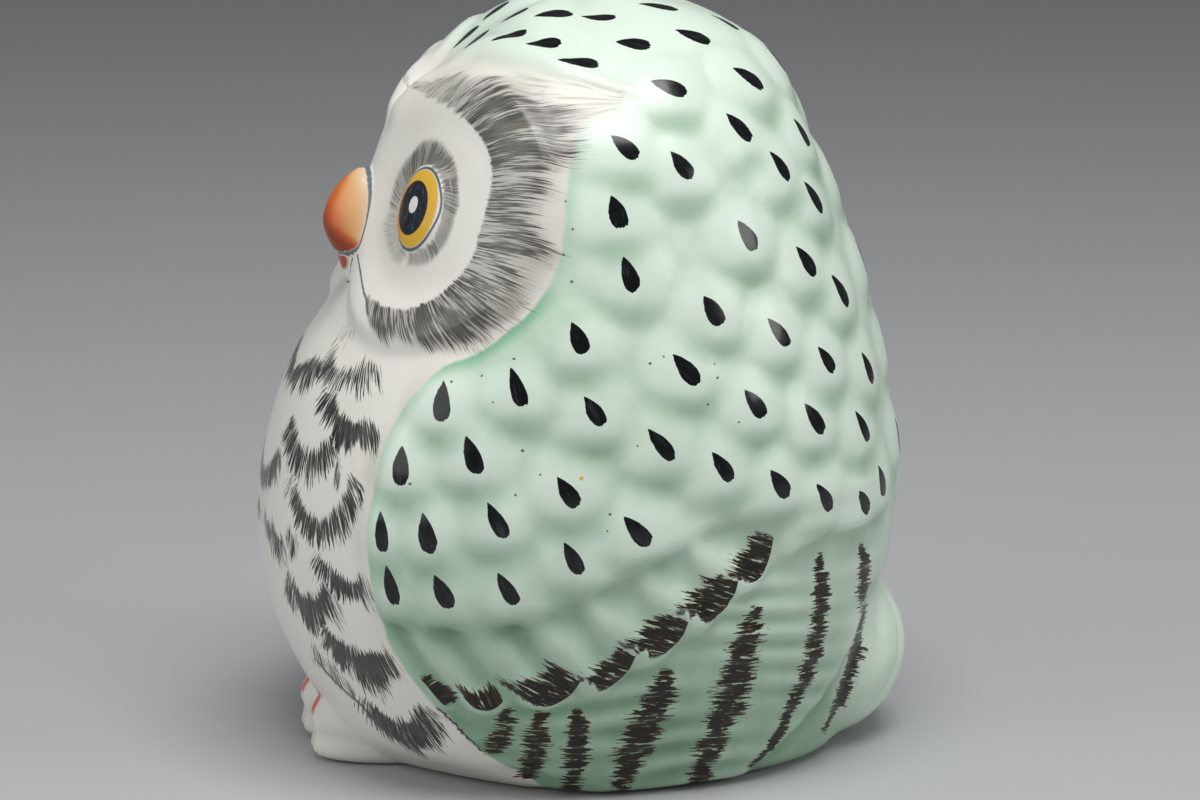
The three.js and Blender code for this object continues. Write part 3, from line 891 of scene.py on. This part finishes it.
# %% Wing hairs
DABS = [
    [(49.2, 26.2, 1.5), (50.6, 24.5, 4), (51.9, 22.6, 5), (53.1, 21, 4.5), (54.3, 19.9, 2)],
    [(57.2, 25.2, 2), (58.6, 22.5, 5), (60, 21.1, 6.5), (61.4, 20.6, 7), (62.9, 20.4, 7),
     (64.4, 20.9, 6), (65.9, 22.3, 4)],
    [(67.4, 24.7, 3.5), (70, 22.7, 8.5), (74.7, 21.4, 10.6), (78.7, 22.9, 11), (81, 26.9, 7.5)],
    [(79.4, 27.2, 2.5), (82.2, 25.1, 6.5), (86.1, 24, 9), (89.8, 26.2, 9), (91.5, 31.4, 6)],
    [(90.1, 33, 2.5), (92.9, 30.9, 7), (96.3, 30.3, 9.5), (100.3, 32.6, 9.5), (101.5, 37.7, 6)],
    [(99.7, 39.2, 2.5), (102.6, 37.3, 7), (106.8, 36.7, 10), (110.4, 39.7, 10), (111.1, 44.7, 6)],
    [(109.9, 45.3, 2.5), (112.8, 43.4, 7), (116.2, 43.9, 9.5), (118.5, 47.3, 9.5), (118.8, 51.9, 5.5)],
]
DAB_LEANS = (25, 115, 148, 156, 160, 160, 156)
BARS = [
    [(65.9, 20.9, 1.6), (65.3, 17, 3), (63.5, 13, 3.8), (60.8, 9.2, 3)],
    [(72.6, 20.3, 1.7), (71.7, 14.8, 3.8), (70.3, 8.7, 4.4), (66.7, 2.9, 3.8)],
    [(79.5, 19.9, 1.5), (80, 15, 3.6), (79.5, 8.5, 4.2), (77.8, -1, 3.8)],
    [(98.1, 27.3, 1.9), (97.6, 22.8, 5.4), (95.1, 15.6, 6.7), (92.9, 9.8, 6.2), (91.2, 5.2, 5.4),
     (89.8, -2, 4.8)],
    [(116.3, 38.5, 1.7), (115.5, 33, 4.3), (114.1, 26.9, 6.4), (113.3, 20.6, 6.4), (112.4, 14.4, 6),
     (110.8, 7.4, 5.3), (110, -3, 4.7)],
    [(131.4, 46.7, 0.9), (132, 41.1, 2.6), (133.1, 35.1, 3.6), (132.9, 28.9, 3.9), (132.7, 22.5, 3.8),
     (130, 14.6, 3.4), (128.4, 7.2, 3.1), (124, 1, 2.7)],
    [(143, 46, 1.4), (146, 40.8, 3.6), (146.9, 35.8, 4.6), (150.9, 28.7, 4.8), (151.8, 22.3, 4.8),
     (150.7, 16.5, 4.6), (150.3, 10.1, 4), (148.8, 3.8, 2.7)],
]
BAR_LEAN = -3
DAB_NUMBER, BAR_NUMBER = 30, 40
WING_INK = (1, 0, 1)

for number, (spots, lean) in enumerate(zip(DABS, DAB_LEANS), DAB_NUMBER):
    row = [(x, y, lean, 0, reach, 1) for x, y, reach in spots]
    paint_hairs(flank_chart, row, number, WING_INK, core=0.5, bunch=0.25, bunch_pitch=1.3)
for number, spots in enumerate(BARS, BAR_NUMBER):
    row = [(x, y, BAR_LEAN, half, half, 1) for x, y, half in spots]
    paint_hairs(flank_chart, row, number, WING_INK, core=0.15, bunch=0.22, bunch_pitch=1.8)
print("faces with hairs:", int((hair_best > 0.01).sum()))

# %% [markdown]
# Fine lines
#
# A thin blue-grey line runs under the chin and another over the foot, and a ragged black
# one down the front of the wing. The mesh keeps the distance to the nearest line, signed
# by its side, with the line's kind and half width.

# %% Lines
CHIN_LINE = [(9, 99), (14.8, 96.5), (21.4, 93.7), (24.7, 92.5), (29, 90)]
FOOT_LINE = [(21.8, 24), (25.1, 21.2), (28.9, 18.8), (32.2, 16.9), (33.8, 14.7), (36, 12.5), (38.3, 10.7)]
WING_LINE = [(52, 20.4), (53.4, 17.5), (54.9, 15.6), (56.1, 14.3), (57.3, 12.8), (59.2, 10.1)]
LINE_REACH = 4.0
OFF_LINE = 99.0

line_spot = np.tile((OFF_LINE, 0, 0), (len(corner_vertex), 1))
line_best = np.full(len(face_start), -LINE_REACH)


def draw_line(spots, half_width, inky):
    path = smooth_path(spots)
    gap, travelled = nearest_on_path(body_half, on_body(path))
    index = np.clip((travelled * (len(path) - 1)).astype(int), 0, len(path) - 2)
    way = path[index + 1] - path[index]
    offset = flank_chart - path[index]
    side = np.sign(way[:, 0] * offset[:, 1] - way[:, 1] * offset[:, 0])
    beyond = (travelled <= 0) | (travelled >= 1)
    spot = np.stack([side * gap, np.full_like(gap, inky), np.where(beyond, 0, half_width)], 1)
    claim(best_of_face(-np.where(beyond, FAR, gap)), line_best, line_spot, spot)


draw_line(CHIN_LINE, 0.22, 0)
draw_line(FOOT_LINE, 0.42, 0)
draw_line(WING_LINE, 0.2, 1)
print("faces near a line:", int((line_best > -LINE_REACH).sum()))

# %% [markdown]
# Specks, and what the mesh hands over
#
# A few specks of dirt fired into the glaze, and the last one in the list is yellow. Then
# all that the material has to know is stored on the mesh: the marks by face corner, and
# what changes softly, such as the hollows, by vertex.

# %% Specks and stored coordinates
SPECKS = [
    (66.4, 87.6), (67.8, 86.6), (61.8, 83.4), (64.4, 79), (92.7, 85), (94.2, 85.8), (96.7, 88),
    (96.9, 86.9), (102.7, 84.7), (107.3, 85), (107.6, 82.5), (105.3, 77.9), (78.9, 110), (77.2, 114.9),
    (78.9, 102.7), (78.7, 100.8), (76.9, 105.6), (91, 71.2), (69.9, 70.6), (73.3, 66.4), (68, 64.5),
    (69.4, 63.8), (68.9, 62.7), (86.2, 60.7), (85.8, 58.9), (85.3, 55.9), (50.3, 63.7), (111, 74.2),
    (56.1, 82), (60.3, 68.1), (80.6, 65.7),
]
SPECK_RADIUS = 0.24
SPECK_NEAR = 2
SPECK_NUDGE = np.array([5, 4])
YELLOW_RADIUS = 0.42
BILL_MARK_REACH = 25
CHEEK_CLIP = 60

speck_spot = np.full((len(corner_vertex), 3), FAR)
for number, speck in enumerate(SPECKS):
    is_yellow = number == len(SPECKS) - 1
    for on_left in (True, False):
        nudge = (0, 0) if on_left else rng.uniform(-SPECK_NUDGE, SPECK_NUDGE)
        across, down, away = Place(speck[0] + nudge[0], speck[1] + nudge[1]).local(body_half)
        radius = YELLOW_RADIUS if is_yellow else SPECK_RADIUS * rng.uniform(0.6, 1.3)
        spot = np.stack([across / radius, down / radius, np.full_like(across, is_yellow)], 1)
        chosen = to_corners(best_of_face((away < SPECK_NEAR) & (left_half == on_left)).astype(bool))
        speck_spot[chosen] = spot[corner_vertex[chosen]]


def bill_spot(bill):
    across, down, away = bill.place.local(body_half)
    height = bill_relief(body_half, bill)
    spot = np.column_stack([across / bill.half_width, stretched(down, bill), height])
    spot[away > BILL_MARK_REACH] = FAR
    return np.clip(spot, -FAR, FAR)


cheek_spot = np.column_stack([cheek_chart, np.where(cheek_away < DISC.near, 1, 0)])
STORED = {
    "CORNER": {
        "hair": hair_spot, "ink": hair_ink, "seed": seed_spot, "line": line_spot,
        "speck": np.clip(speck_spot, -FAR, FAR),
    },
    "POINT": {
        "cheek": np.clip(cheek_spot, -CHEEK_CLIP, CHEEK_CLIP), "beak": bill_spot(BEAK),
        "cushion": bill_spot(LOWER_BILL), "green": green_side, "hollow": hollow, "seed_pool_and_shade": seed_pool_and_shade,
    },
}
for domain, values_by_name in STORED.items():
    for name, values in values_by_name.items():
        kind, field = ("FLOAT", "value") if values.ndim == 1 else ("FLOAT_VECTOR", "vector")
        attribute = owl.data.attributes.new(name, kind, domain)
        attribute.data.foreach_set(field, np.ascontiguousarray(values, np.float32).ravel())
    print("stored by", domain.lower() + ":", ", ".join(values_by_name))

# %% [markdown]
# Shader arithmetic
#
# A material is a tree of nodes, and sums of masks are easier to read as a formula. This
# class wraps one socket, so that plus, minus and times add the Math nodes by themselves.
# Every other node takes its settings and then the values or wires of its sockets.

# %% Wires
def feed(socket, value):
    if isinstance(value, Wire):
        Wire.tree.links.new(value.socket, socket)
    else:
        socket.default_value = value


class Wire:
    tree = None

    def __init__(self, socket):
        self.socket = socket

    @classmethod
    def node(cls, kind, settings=None, inputs=None, output=0):
        made = cls.tree.nodes.new(kind)
        for name, value in (settings or {}).items():
            setattr(made, name, value)
        for name, value in (inputs or {}).items():
            feed(made.inputs[name], value)
        return cls(made.outputs[output])

    @classmethod
    def math(cls, operation, *values):
        return cls.node("ShaderNodeMath", {"operation": operation}, dict(enumerate(values)))

    def __add__(self, other):
        return Wire.math("ADD", self, other)

    def __sub__(self, other):
        return Wire.math("SUBTRACT", self, other)

    def __rsub__(self, other):
        return Wire.math("SUBTRACT", other, self)

    def __mul__(self, other):
        return Wire.math("MULTIPLY", self, other)

    def __truediv__(self, other):
        return Wire.math("DIVIDE", self, other)

    def __pow__(self, other):
        return Wire.math("POWER", self, other)

    __radd__ = __add__
    __rmul__ = __mul__

    def __abs__(self):
        return Wire.math("ABSOLUTE", self)

    def step(self, low, high):
        """0 below low, 1 above high and smooth between; low may be the larger one."""
        settings = {"interpolation_type": "SMOOTHSTEP"}
        return Wire.node("ShaderNodeMapRange", settings, {"Value": self, "From Min": low, "From Max": high})

    def parts(self):
        split = Wire.tree.nodes.new("ShaderNodeSeparateXYZ")
        feed(split.inputs[0], self)
        return [Wire(output) for output in split.outputs]


def stored(name, output=1):
    return Wire.node("ShaderNodeAttribute", {"attribute_name": name}, output=output)


def join(x, y, z):
    return Wire.node("ShaderNodeCombineXYZ", None, {0: x, 1: y, 2: z})


def noise(place, scale, detail=2, roughness=0.5):
    inputs = {"Vector": place, "Scale": scale, "Detail": detail, "Roughness": roughness}
    return Wire.node("ShaderNodeTexNoise", None, inputs)


def bristle_noise(x, y, z, scale=1, detail=2):
    """A rough noise, drawn out by giving it coordinates that run faster one way."""
    return noise(join(x, y, z), scale, detail, 0.6)


def length(x, y):
    return Wire.math("SQRT", x * x + y * y)


def srgb(red, green, blue):
    """A colour as read off a colour card, 0 to 255, in the linear values that nodes use."""
    shares = [value / 255 for value in (red, green, blue)]
    linear = [share / 12.92 if share < 0.04045 else ((share + 0.055) / 1.055) ** 2.4 for share in shares]
    return (*linear, 1)


def coats(ground, *later):
    """Colours laid over a ground one after another, each through its own mask."""
    for colour, mask in later:
        settings = {"data_type": "RGBA"}
        ground = Wire.node("ShaderNodeMix", settings, {0: mask, 6: ground, 7: colour}, output=2)
    return ground


# %% [markdown]
# The painted glaze
#
# One material covers the owl, as one firing did. It is built in the order of the real
# work: white porcelain, green glaze with painted shade and light in it, hairs, seeds, eyes,
# beak, and last a few specks. In a step the two numbers are millimetres, or shares of the
# mark from its middle out.

# %% Glaze and ground colours
glaze = bpy.data.materials.new("painted_glaze")
glaze.use_nodes = True
Wire.tree = glaze.node_tree
shader = glaze.node_tree.nodes["Principled BSDF"]

coordinates = Wire.node("ShaderNodeTexCoord", output=3)
owl_mm = Wire.node("ShaderNodeVectorMath", {"operation": "SCALE"}, {0: coordinates, "Scale": 1 / MM})
x_mm, y_mm, z_mm = owl_mm.parts()

PORCELAIN = srgb(233, 231, 223)
PORCELAIN_WARM = srgb(226, 221, 210)
MINT_PALE = srgb(222, 238, 222)
MINT = srgb(184, 209, 187)
MINT_DEEP = srgb(110, 150, 116)
MINT_EDGE = srgb(104, 178, 136)

clouds = noise(owl_mm, 0.035, 3)
brushing = noise(owl_mm, 0.22, 3)
white = coats(PORCELAIN, (PORCELAIN_WARM, clouds.step(0.45, 0.7) * 0.35))

# Darker green in the hollows and under each seed's scale: glaze pooled there, and partly painted shade.
depth = stored("hollow", 2).step(-0.7, 1) * 0.52 + stored("seed_pool_and_shade", 2) * 0.55
depth = depth + (brushing - 0.5) * 0.3 + (clouds - 0.5) * 0.5
# Darker and greener towards the bottom: painted shade on the lower body, with some glaze that ran down;
# paler towards the crown: painted light from above.
depth = depth + z_mm.step(66, 4) * 0.3 - z_mm.step(95, 140) * 0.14 + z_mm.step(58, 12) * 0.4
# Painted light: the tail is paler, as if a light behind it reached it.
depth = depth - y_mm.step(42, 54) * z_mm.step(36, 28) * 0.65
green_side_mm = stored("green", 2)
under_cheek = z_mm.step(81, 88) * z_mm.step(101, 94)
# Painted shade: darker green on the wing's shoulder under the cheek.
depth = depth + green_side_mm.step(15, 3) * under_cheek * 0.45

from_edge = green_side_mm + (brushing - 0.5) * 1.1
rim = from_edge.step(3.2, 0.2) * (0.2 + 0.55 * under_cheek) * z_mm.step(128, 120)
mint = coats(MINT_PALE, (MINT, depth.step(0.02, 0.6)), (MINT_DEEP, depth.step(0.48, 1.35)))
green = coats(mint, (MINT_EDGE, rim))
white = coats(white, (PORCELAIN_WARM, from_edge.step(-9, -2) * z_mm.step(78, 90) * 0.6))
edge_softness = 0.45 + z_mm.step(124, 132) * 3
ground = coats(white, (green, (from_edge / edge_softness).step(-1, 1)))
print("nodes in the ground colours:", len(Wire.tree.nodes))

# %% [markdown]
# Hairs
#
# A hair is there where the strength of its bundle is higher than a noise that is many
# times finer across the hairs than along them. A strong bundle runs together into a solid
# stroke, and a weak one leaves only tips. Thin ink fires brown, thick ink nearly black.

# %% Hairs
hair_root, hair_along, strength = stored("hair").parts()
brown, soft, opacity = stored("ink").parts()
grain = bristle_noise(hair_root * (2.2 + soft * 2.4), hair_along * (0.2 - soft * 0.1), 0)
strands = ((grain - 0.5) / (soft * 0.3 + 0.4) + 0.5).step(0, 1)
bundles = noise(join(hair_root * 0.42, hair_along * 0.1, 7), 1, 1)
gaps = bristle_noise(hair_root * 1.3, hair_along * 0.25, 11).step(0.52, 0.68) * brown
thick = strength * (1.08 - soft * 0.16) + (bundles - 0.5) * strength * (soft * 2.1 + 0.3)
thick = thick - gaps * 0.48
late = soft * (bundles * 1.4 + strands * 1.1)
hair_start = (hair_along - late).step(0, soft * 0.8 + 0.14)
hair = (thick - strands).step(-0.05, soft * 0.36 + 0.1) * hair_start * strength.step(0.02, 0.12)

INK_BLACK = srgb(16, 21, 25)
INK_SEPIA = srgb(22, 17, 10)
INK_BROWN = srgb(94, 78, 44)
INK_GREY = srgb(56, 54, 50)
WASH = srgb(140, 138, 130)
thin_ink = brown * (thick - strands).step(0.42, 0)
ink = coats(INK_BLACK, (INK_SEPIA, brown), (INK_GREY, soft.step(0.3, 1)), (INK_BROWN, thin_ink))
wash = (strength - strands * 0.25).step(-0.02, 0.6) * soft.step(0.35, 0.9) * 0.75
painted = coats(ground, (WASH, wash), (ink, hair * (opacity - strands * soft * 0.35)))
print("nodes with the hairs:", len(Wire.tree.nodes))

# %% [markdown]
# Seeds
#
# A seed's outline is a pointed oval. Its edge shakes a little, its round end is torn by the
# bristles, and grey streaks along the brush strokes are a painted reflection on the black.

# %% Seeds
SEED_BLACK = srgb(10, 13, 16)
SEED_GREY = srgb(52, 56, 60)

seed_across, seed_along, seed_number = stored("seed").parts()
shake = bristle_noise(seed_across * 1.4, seed_along * 1.4, seed_number * 3.7, 1, 3) - 0.5
bristles = bristle_noise(seed_across * 2.6, seed_along * 0.3, seed_number * 5.1) - 0.5
seed_y = seed_along + shake * 0.2 + bristles * seed_along.step(0.2, 0.9) * 0.3
taper_top = Wire.math("MAXIMUM", seed_y + 1, 0) ** 0.85
taper_bottom = Wire.math("MAXIMUM", 1 - seed_y, 0) ** 0.42
seed_width = taper_top * taper_bottom / 1.1
seed = (seed_width - abs(seed_across + shake * 0.3)).step(0, 0.07)
strokes = bristle_noise(seed_across * 2.2, seed_along * 0.7, seed_number, 1.3, 3)
# Grey streaks in the black: a painted reflection along the brush strokes.
seed_colour = coats(SEED_BLACK, (SEED_GREY, strokes.step(0.5, 0.75) * 0.7))
painted = coats(painted, (seed_colour, seed))
print("nodes with the seeds:", len(Wire.tree.nodes))

# %% [markdown]
# Eye
#
# The eye is painted on its dome in rings: a fine blue-grey outline drawn out to a point at
# the back, a pale gap, a gold ring, and a nearly black pupil a little forward with one
# oval highlight of bare white.

# %% Eye
cheek_x, cheek_y, on_cheek = stored("cheek").parts()
EYE_TILT = math.radians(9.5)


def oval(centre, half_width, half_height):
    """0 in the middle of an oval with the eye's tilt and 1 on its edge."""
    x, y = cheek_x - centre[0], cheek_y - centre[1]
    turned_x = (x * math.cos(EYE_TILT) - y * math.sin(EYE_TILT)) / half_width
    turned_y = (x * math.sin(EYE_TILT) + y * math.cos(EYE_TILT)) / half_height
    return length(turned_x, turned_y)


EYE_GOLD = srgb(229, 180, 60)
EYE_ORANGE = srgb(222, 142, 62)
EYE_BLACK = srgb(24, 34, 44)
EYE_STREAK = srgb(66, 78, 90)
LINE_BLUE = srgb(74, 92, 100)
EYE_CORNER = 0.08

in_corner = abs(cheek_y + 0.1).step(5.5, 0) * cheek_x.step(0.6, 5.1)
outline = oval((-2.05, -0.62), 6.68, 7.86) - in_corner * EYE_CORNER
gold = oval((-2.1, -0.65), 6.35, 7.5)
pupil = oval((-2.9, -0.75), 4.65, 5.2)
glint = oval((-2.46, -0.28), 1.35, 1.6)
streaks = bristle_noise(cheek_x * 0.9, cheek_y * 0.35, 3, 1.2, 3)
iris = coats(EYE_GOLD, (EYE_ORANGE, (cheek_x + streaks * 2).step(-3.7, -6.7)))
dark_eye = coats(EYE_BLACK, (EYE_STREAK, streaks.step(0.5, 0.72) * pupil.step(1, 0.75)))
painted = coats(
    painted,
    (PORCELAIN, outline.step(1.03, 0.97)),
    (LINE_BLUE, abs(outline - 1).step(0.055, 0.025) * 0.95),
    (iris, gold.step(1.02, 0.97)),
    (dark_eye, pupil.step(1.03, 0.98)),
    (PORCELAIN, glint.step(1.08, 0.94)),
)
print("nodes with the eye:", len(Wire.tree.nodes))

# %% [markdown]
# Beak, lines and claws
#
# The beak is coloured from cream at the top of its root through tan and orange to brick red
# at its tip, and the cream at the top of the root is partly a painted highlight. Under it
# sits a small white cushion with one red spot. Each foot has only one orange-red stroke, in
# the cleft between its toes.

# %% Beak, lines and claws
BEAK_CREAM = srgb(228, 197, 161)
BEAK_TAN = srgb(222, 160, 98)
BEAK_ORANGE = srgb(212, 106, 52)
BEAK_BRICK = srgb(150, 58, 26)
SPOT_RED = srgb(172, 62, 30)
CLAW_RED = srgb(212, 78, 40)

beak_across, beak_along, beak_height = stored("beak").parts()
orange = beak_height + beak_along * 3.5 + beak_along.step(-0.2, 0.5) * 3
orange = orange + abs(beak_across).step(0.45, 0) * 2.6
brick = beak_along + brushing * 0.4 + beak_height * 0.05
# The cream at the top of the root is airbrushed colour and partly a painted highlight.
beak = coats(
    BEAK_CREAM,
    (BEAK_TAN, (beak_height + beak_along * 4).step(-2.5, 3)),
    (BEAK_ORANGE, orange.step(1.8, 5.8)),
    (BEAK_BRICK, brick.step(0.08, 0.9)),
)
beak_edge = length(beak_across, beak_along)
on_cushion = beak_edge.step(1.08, 1.12)
cushion_across, cushion_along, _ = stored("cushion").parts()
cushion_edge = length(cushion_across, cushion_along)
spot = length(cushion_across / 0.9, (cushion_along - 0.1) / 0.52)
painted = coats(
    painted,
    (beak, beak_edge.step(1.02, 0.98)),
    (LINE_BLUE, abs(beak_edge - 1.04).step(0.05, 0.02) * 0.9),
    (PORCELAIN, cushion_edge.step(1, 0.96) * on_cushion),
    (LINE_BLUE, abs(cushion_edge - 1.03).step(0.07, 0.03) * on_cushion * 0.8),
    (SPOT_RED, spot.step(1.05, 0.8) * on_cushion),
)

line_side, line_kind, line_width = stored("line").parts()
ragged = line_side + (noise(owl_mm, 1.1, 2) - 0.5) * (0.25 + line_kind)
line = (abs(ragged) - line_width).step(0.12, -0.1) * line_width.step(0.05, 0.2)
line_colour = coats(LINE_BLUE, (INK_BLACK, line_kind))
beside_cleft = abs(abs(x_mm) - TOE_CLEFT.across + (z_mm - 10) * 0.12)
claw = beside_cleft.step(1.8, 1.15) * z_mm.step(8, 9.4) * z_mm.step(15, 13.4) * y_mm.step(-44, -46)
painted = coats(painted, (line_colour, line * 0.9), (CLAW_RED, claw * 0.95))
print("nodes with the beak and lines:", len(Wire.tree.nodes))

# %% [markdown]
# Tuft, specks and gloss
#
# The brow tuft is a lock of fine hair whose lines meet at its tip, so they are drawn by the
# angle round a point just beyond it, in thin grey-brown paint and as a slight groove. The
# underside is bare.

# %% Tuft, specks and gloss
TUFT_TIP = (33, 26.5)
TUFT_BROWN = srgb(150, 138, 118)
SPECK = srgb(48, 42, 32)
YELLOW = srgb(214, 170, 70)
BISQUE = srgb(222, 216, 204)

from_tip_x, from_tip_y = TUFT_TIP[0] - cheek_x, cheek_y - TUFT_TIP[1]
tuft_angle = Wire.math("ARCTAN2", from_tip_y, from_tip_x)
tip_distance = length(from_tip_x, from_tip_y)
tuft_lines = bristle_noise(tuft_angle * 15, tip_distance * 0.07, 5)
on_tuft = tuft_angle.step(-0.72, -0.62) * tuft_angle.step(0.3, 0.1) * tip_distance.step(1, 3)
on_tuft = on_tuft * tip_distance.step(24, 14) * on_cheek * from_edge.step(0.6, -0.6)

speck_across, speck_down, speck_yellow = stored("speck").parts()
speck = length(speck_across + shake * 2, speck_down).step(1.15, 0.75)
speck_colour = coats(SPECK, (YELLOW, speck_yellow))
underside = z_mm.step(0.5, 0.15)
painted = coats(
    painted,
    (TUFT_BROWN, tuft_lines.step(0.5, 0.66) * on_tuft * 0.6),
    (speck_colour, speck * 0.85),
    (BISQUE, underside),
)
gloss = 0.36 + (brushing - 0.5) * 0.1 - (hair * 0.1 + seed * 0.16) + underside * 0.4
ripple = noise(owl_mm, 0.16, 2) + noise(owl_mm, 0.9, 2) * 0.12 - tuft_lines * on_tuft * 1.6
bump = Wire.node("ShaderNodeBump", None, {"Strength": 0.35, "Distance": 0.0003, "Height": ripple})

GLAZE_INPUTS = {
    "Base Color": painted, "Roughness": gloss, "Normal": bump,
    "Specular IOR Level": 0.4, "Coat Weight": 0.1, "Coat Roughness": 0.12,
}
for name, value in GLAZE_INPUTS.items():
    feed(shader.inputs[name], value)
owl.data.materials.clear()
owl.data.materials.append(glaze)
print("nodes in the glaze:", len(Wire.tree.nodes))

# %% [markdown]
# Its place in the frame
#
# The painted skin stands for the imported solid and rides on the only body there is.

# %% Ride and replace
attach(owl, "root")
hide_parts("owl")

# %% [markdown]
# Floor and light
#
# A wide pale floor fills the picture. The main light is a large soft window overhead, with
# a broad one in front for the breast, a small one behind the tail and a weak grey sky.

# %% Floor and light
bpy.ops.object.select_all(action="DESELECT")
bpy.ops.mesh.primitive_plane_add(size=8)
floor = bpy.context.active_object
floor.name = "floor"
floor_paint = bpy.data.materials.new("floor_paint")
floor_paint.use_nodes = True
floor_shader = floor_paint.node_tree.nodes["Principled BSDF"]
feed(floor_shader.inputs["Base Color"], srgb(184, 185, 187))
feed(floor_shader.inputs["Roughness"], 0.7)
floor.data.materials.append(floor_paint)


def window(name, place, aim, width, height, watts):
    data = bpy.data.lights.new(name, "AREA")
    data.shape = "RECTANGLE"
    data.size, data.size_y = width, height
    data.energy = watts
    light = bpy.data.objects.new(name, data)
    bpy.context.scene.collection.objects.link(light)
    light.location = place
    way = Vector(aim) - Vector(place)
    light.rotation_euler = way.to_track_quat("-Z", "Y").to_euler()


window("overhead", (0.32, 0.05, 1.0), (0, 0, 0.08), 0.7, 0.5, 8.2)
window("front", (0.35, -1.0, 0.5), (0, 0, 0.07), 1.0, 0.8, 4.1)
window("behind", (0.55, 0.85, 0.45), (0, 0, 0.05), 0.4, 0.4, 2.3)
sky = bpy.data.worlds.new("sky")
sky.use_nodes = True
background = sky.node_tree.nodes["Background"]
feed(background.inputs["Color"], (0.8, 0.82, 0.84, 1))
feed(background.inputs["Strength"], 0.16)
bpy.context.scene.world = sky
bpy.context.scene.view_settings.view_transform = "Standard"
print("lights:", [light.name for light in bpy.data.lights])
